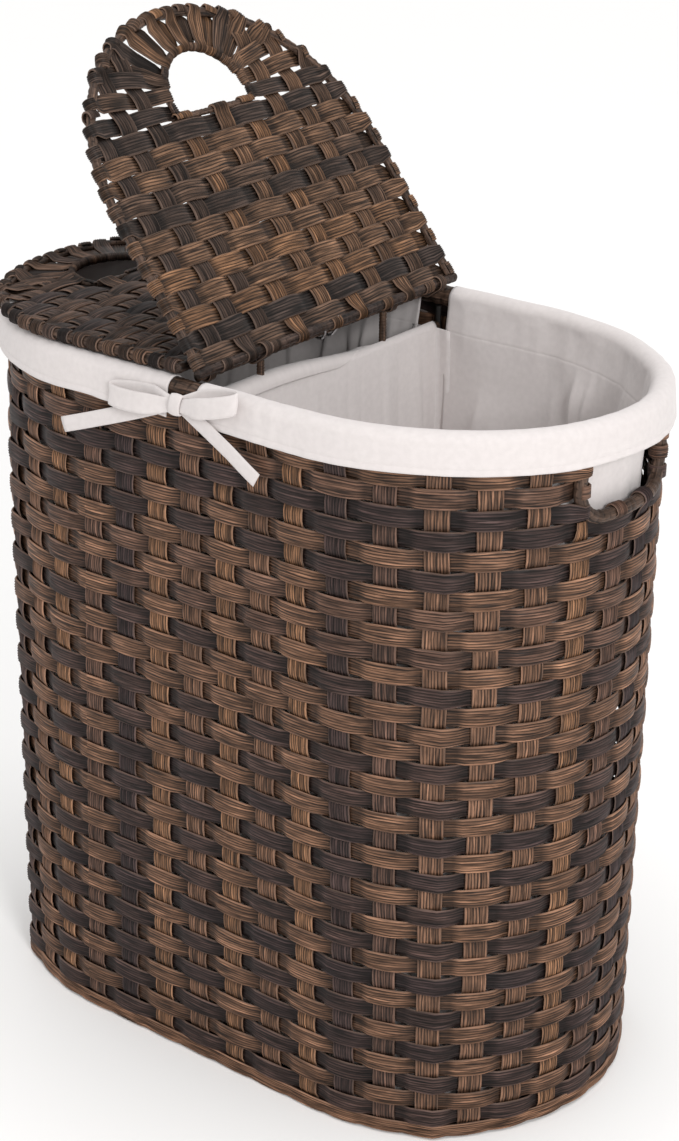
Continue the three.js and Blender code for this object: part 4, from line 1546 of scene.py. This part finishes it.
@dataclass
class TieBow:
    """A flat tape tied in a bow where the two cuffs meet: two loops, two tails and a knot."""

    end: str
    cotton: bpy.types.Material
    tape: float = 16 * MM
    tail_tape: float = 12.5 * MM
    cloth: float = 1.0 * MM

    def build(self) -> None:
        """Build the bow as one piece of tape."""
        low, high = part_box(f"tie_bow_{self.end}")
        behind = min(abs(low.y), abs(high.y))
        knot = np.array([0.0, -behind - 3.5 * MM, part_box("rim_rod")[1].z - 14 * MM])
        surface = Surface()
        # The left loop is longer and droops, the right one stands up, and the left tail reaches further.
        self._loop(surface, knot, -1, 68 * MM, math.radians(4))
        self._loop(surface, knot, 1, 60 * MM, math.radians(13))
        self._tail(surface, knot, [(-6, 0), (-40, -13), (-80, -28), (-119, -43)])
        self._tail(surface, knot, [(5, -2), (24, -12), (50, -26), (76, -42)])
        self._knot(surface, knot)
        piece = surface.to_object(f"tie_bow_tape_{self.end}", self.cotton)
        if self.end == "rear":
            piece.data.transform(Matrix.Rotation(math.pi, 4, "Z"))
        settle(piece, "basket", [f"tie_bow_{self.end}"])

    def _ribbon(self, surface: Surface, line: Array, across: Array, width: Array, bow: float = 0.0) -> None:
        """Lay a flat tape along a line, with soft rounded edges.

        Args:
            surface: collects the mesh.
            line: centre of the tape.
            across: unit vector over the tape's width at each station.
            width: the tape's width at each station.
            bow: how far its middle stands off its edges.
        """
        ahead = unit(np.gradient(line, axis=0))
        outward = unit(np.cross(ahead, across))
        t = np.linspace(-1, 1, 9)
        reach = np.concatenate([t, t[::-1]])
        rise = np.concatenate([np.full(9, 0.5), np.full(9, -0.5)]) * self.cloth
        # Both selvedges are half as thick as the tape.
        rise[[0, 8, 9, 17]] *= 0.5
        lift = bow * (1 - reach ** 2)
        points = (line[:, None] + across[:, None] * (reach[None] * width[:, None] / 2)[..., None]
                  + outward[:, None] * (rise + lift)[None, :, None])
        v = np.append(reach, -1) * self.tape / 2
        surface.grid(points, travelled(line), v, False, True)

    def _loop(self, surface: Surface, knot: Array, way: int, reach: float, lean: float) -> None:
        """One loop of the bow: out along the front, round, and back to the knot.

        Args:
            surface: collects the mesh.
            knot: middle of the bow.
            way: 1 for the right loop, -1 for the left one.
            reach: the loop's length.
            lean: its slope in radians.
        """
        t = np.linspace(0, 2 * math.pi, 48)
        out = (1 - np.cos(t)) / 2
        depth = 5.2 * MM * np.sin(t) * smoothstep(0, 0.5, out)
        along = way * reach * out
        line = np.stack([along * math.cos(lean), -depth - 1 * MM, along * math.sin(lean)], 1)
        line[:, 2] -= 2.2 * MM * np.sin(t)
        width = self.tape * (0.62 + 0.42 * smoothstep(0, 0.45, out))
        across = np.tile(unit(np.array([0.0, 0.12, 1.0])), (len(t), 1))
        self._ribbon(surface, knot + line, across, width, 0.8 * MM)

    def _tail(self, surface: Surface, knot: Array, spots: Sequence[tuple[float, float]]) -> None:
        """One tail that hangs from the knot through the spots, in millimetres along and up.

        Args:
            surface: collects the mesh.
            knot: middle of the bow.
            spots: the points it passes through.
        """
        spots = np.array(spots, float) * MM
        t = np.linspace(0, 1, 30)
        base = np.linspace(0, 1, len(spots))
        x, z = np.interp(t, base, spots[:, 0]), np.interp(t, base, spots[:, 1])
        sag = 1.2 * MM * np.sin(math.pi * t)
        line = np.stack([x, 1.6 * MM + 1.2 * MM * np.sin(5 * t) * t, z - sag], 1)
        run = unit(np.gradient(line, axis=0))
        across = unit(np.cross(run, np.array([0.0, 1.0, 0.0])))
        self._ribbon(surface, knot + line, across, np.full(30, self.tail_tape), 0.4 * MM)

    def _knot(self, surface: Surface, knot: Array) -> None:
        """The band of tape that wraps the middle.

        Args:
            surface: collects the mesh.
            knot: middle of the bow.
        """
        angle = np.linspace(0, 2 * math.pi, 25)[:-1]
        ring = np.stack([np.zeros(24), -0.8 * MM + 3.4 * MM * np.cos(angle), 8.2 * MM * np.sin(angle)], 1)
        t = np.linspace(-1, 1, 9)
        reach = np.concatenate([t, t[::-1]]) * 5.5 * MM
        layer = np.concatenate([1 + 0.10 * (1 - t ** 2), np.full(9, 0.82)])
        lean = np.array([0.16 * ring[:, 2], np.zeros(24), np.zeros(24)]).T
        points = knot + lean[:, None] + ring[:, None] * layer[None, :, None] + np.stack(
            [reach, np.zeros(18), np.zeros(18)], 1)[None]
        u = np.append(angle, 2 * math.pi) * 7 * MM
        surface.grid(points, u, np.append(reach, reach[0]), True, True)


# ------------------------------------------------------------------ stage
@dataclass(frozen=True)
class Studio:
    """Camera, soft lights and a plain pale floor."""

    azimuth: float = 38.22
    elevation: float = 25.71
    roll: float = 0.42
    distance: float = 2.046
    aim: tuple[float, float, float] = (0.0, 0.0, 0.3)
    lens: float = 76.5
    shift: tuple[float, float] = (0.0162, 0.0889)
    key_place: tuple[float, float, float] = (2.8, -1.8, 2.1)
    key_size: float = 0.8
    key_power: float = 58
    overhead_power: float = 0.9
    surround: float = 0.79
    floor_reach: float = 40

    def build(self) -> None:
        """Set up camera, lights, world and floor."""
        self._camera()
        self._lights()
        self._floor()

    def _camera(self) -> None:
        """Make the camera from its angles round the basket."""
        data = bpy.data.cameras.new("camera")
        data.lens, data.sensor_width = self.lens, 36.0
        data.shift_x, data.shift_y = self.shift
        data.clip_end = 50
        camera = bpy.data.objects.new("camera", data)
        bpy.context.scene.collection.objects.link(camera)
        turn, tilt, roll = (math.radians(x) for x in (self.azimuth, self.elevation, self.roll))
        back = Vector((math.sin(turn) * math.cos(tilt), -math.cos(turn) * math.cos(tilt), math.sin(tilt)))
        right = Vector((math.cos(turn), math.sin(turn), 0.0))
        up = back.cross(right)
        rolled = (right * math.cos(roll) + up * math.sin(roll), up * math.cos(roll) - right * math.sin(roll))
        spin = Matrix((rolled[0], rolled[1], back)).transposed().to_4x4()
        camera.matrix_world = Matrix.Translation(Vector(self.aim) + back * self.distance) @ spin
        bpy.context.scene.camera = camera

    def _lights(self) -> None:
        """A pale surround, a soft box at the front right and a broad overhead light."""
        world = bpy.data.worlds.new("studio")
        bpy.context.scene.world = world
        world.use_nodes = True
        world.node_tree.nodes["Background"].inputs[0].default_value = (1, 1, 1, 1)
        world.node_tree.nodes["Background"].inputs[1].default_value = self.surround
        key = bpy.data.lights.new("key", "AREA")
        key.shape = "SQUARE"
        key.size = self.key_size
        key.energy = self.key_power
        lamp = bpy.data.objects.new("key", key)
        lamp.location = self.key_place
        towards = Vector(self.key_place) - Vector((0, 0, 0.4))
        lamp.rotation_euler = towards.to_track_quat("Z", "Y").to_euler()
        bpy.context.scene.collection.objects.link(lamp)
        overhead = bpy.data.lights.new("overhead", "SUN")
        overhead.energy = self.overhead_power
        overhead.angle = math.radians(50)
        lamp = bpy.data.objects.new("overhead", overhead)
        lamp.location = (0, 0, 4)
        bpy.context.scene.collection.objects.link(lamp)

    def _floor(self) -> None:
        """A wide pale floor, which is not part of the basket."""
        mesh = bpy.data.meshes.new("floor")
        far = self.floor_reach
        mesh.from_pydata([(-far, -far, 0), (far, -far, 0), (far, far, 0), (-far, far, 0)], [], [(0, 1, 2, 3)])
        floor = bpy.data.objects.new("floor", mesh)
        bpy.context.scene.collection.objects.link(floor)
        material = bpy.data.materials.new("painted_cyclorama")
        material.use_nodes = True
        material.node_tree.nodes["Principled BSDF"].inputs["Base Color"].default_value = linear("#f6f5f4")
        material.node_tree.nodes["Principled BSDF"].inputs["Roughness"].default_value = 0.9
        mesh.materials.append(material)


def dress_frame_nodes(finishes: dict[str, tuple[bpy.types.Material, str]]) -> None:
    """Give the frame's own solids that stay in view their finish.

    Args:
        finishes: start of a node's name to its material and the record's material slot. The slot is not used.
    """
    for name, piece in frame["nodes"].items():
        for start, (material, slot) in finishes.items():
            if name.startswith(start):
                piece.data.materials.clear()
                piece.data.materials.append(material)


def main() -> None:
    """Build every sub-assembly and report it."""
    logging.basicConfig(level=logging.INFO, format="%(name)s %(message)s")
    Studio().build()
    bpy.context.scene.view_settings.view_transform = "Standard"
    cane = ResinCane("resin_cane_strip").build()
    # The lids are of a darker lot than the tub, and the windings darkest. The left lid's copy is darker
    # still, as painted shade.
    lid_cane = ResinCane("resin_cane_lid_strip", brown="#6d5341", orange="#7e5b40", dark="#3d322d").build()
    shaded = ResinCane("resin_cane_left_lid_shaded_strip", brown="#5b473c", orange="#684f3f",
                       dark="#3b312f").build()
    wound = ResinCane("resin_cane_winding", brown="#594538", orange="#664d3b", dark="#332925").build()
    cotton = CottonCloth("plain_cotton").build()
    steel = Wire("bright_steel_wire", "#d5d6d8", 1.0, 0.22).build()
    lacquered = Wire("lacquered_steel_wire", "#1d1b1a", 0.0, 0.45).build()
    tub = read_tub()
    WovenTub(tub, cane).build()
    TubRods(tub, wound).build()
    for side in ("right", "left"):
        Lid(side, lid_cane if side == "right" else shaded, wound).build()
        Liner(side, tub, cotton).build()
    Hinges(steel, wound).build()
    for end in ("front", "rear"):
        TieBow(end, cotton).build()
    dress_frame_nodes({"frame_post": (lacquered, "frame_wire"), "base_panel": (cane, "woven_resin_cane")})


if __name__ == "__main__":
    main()
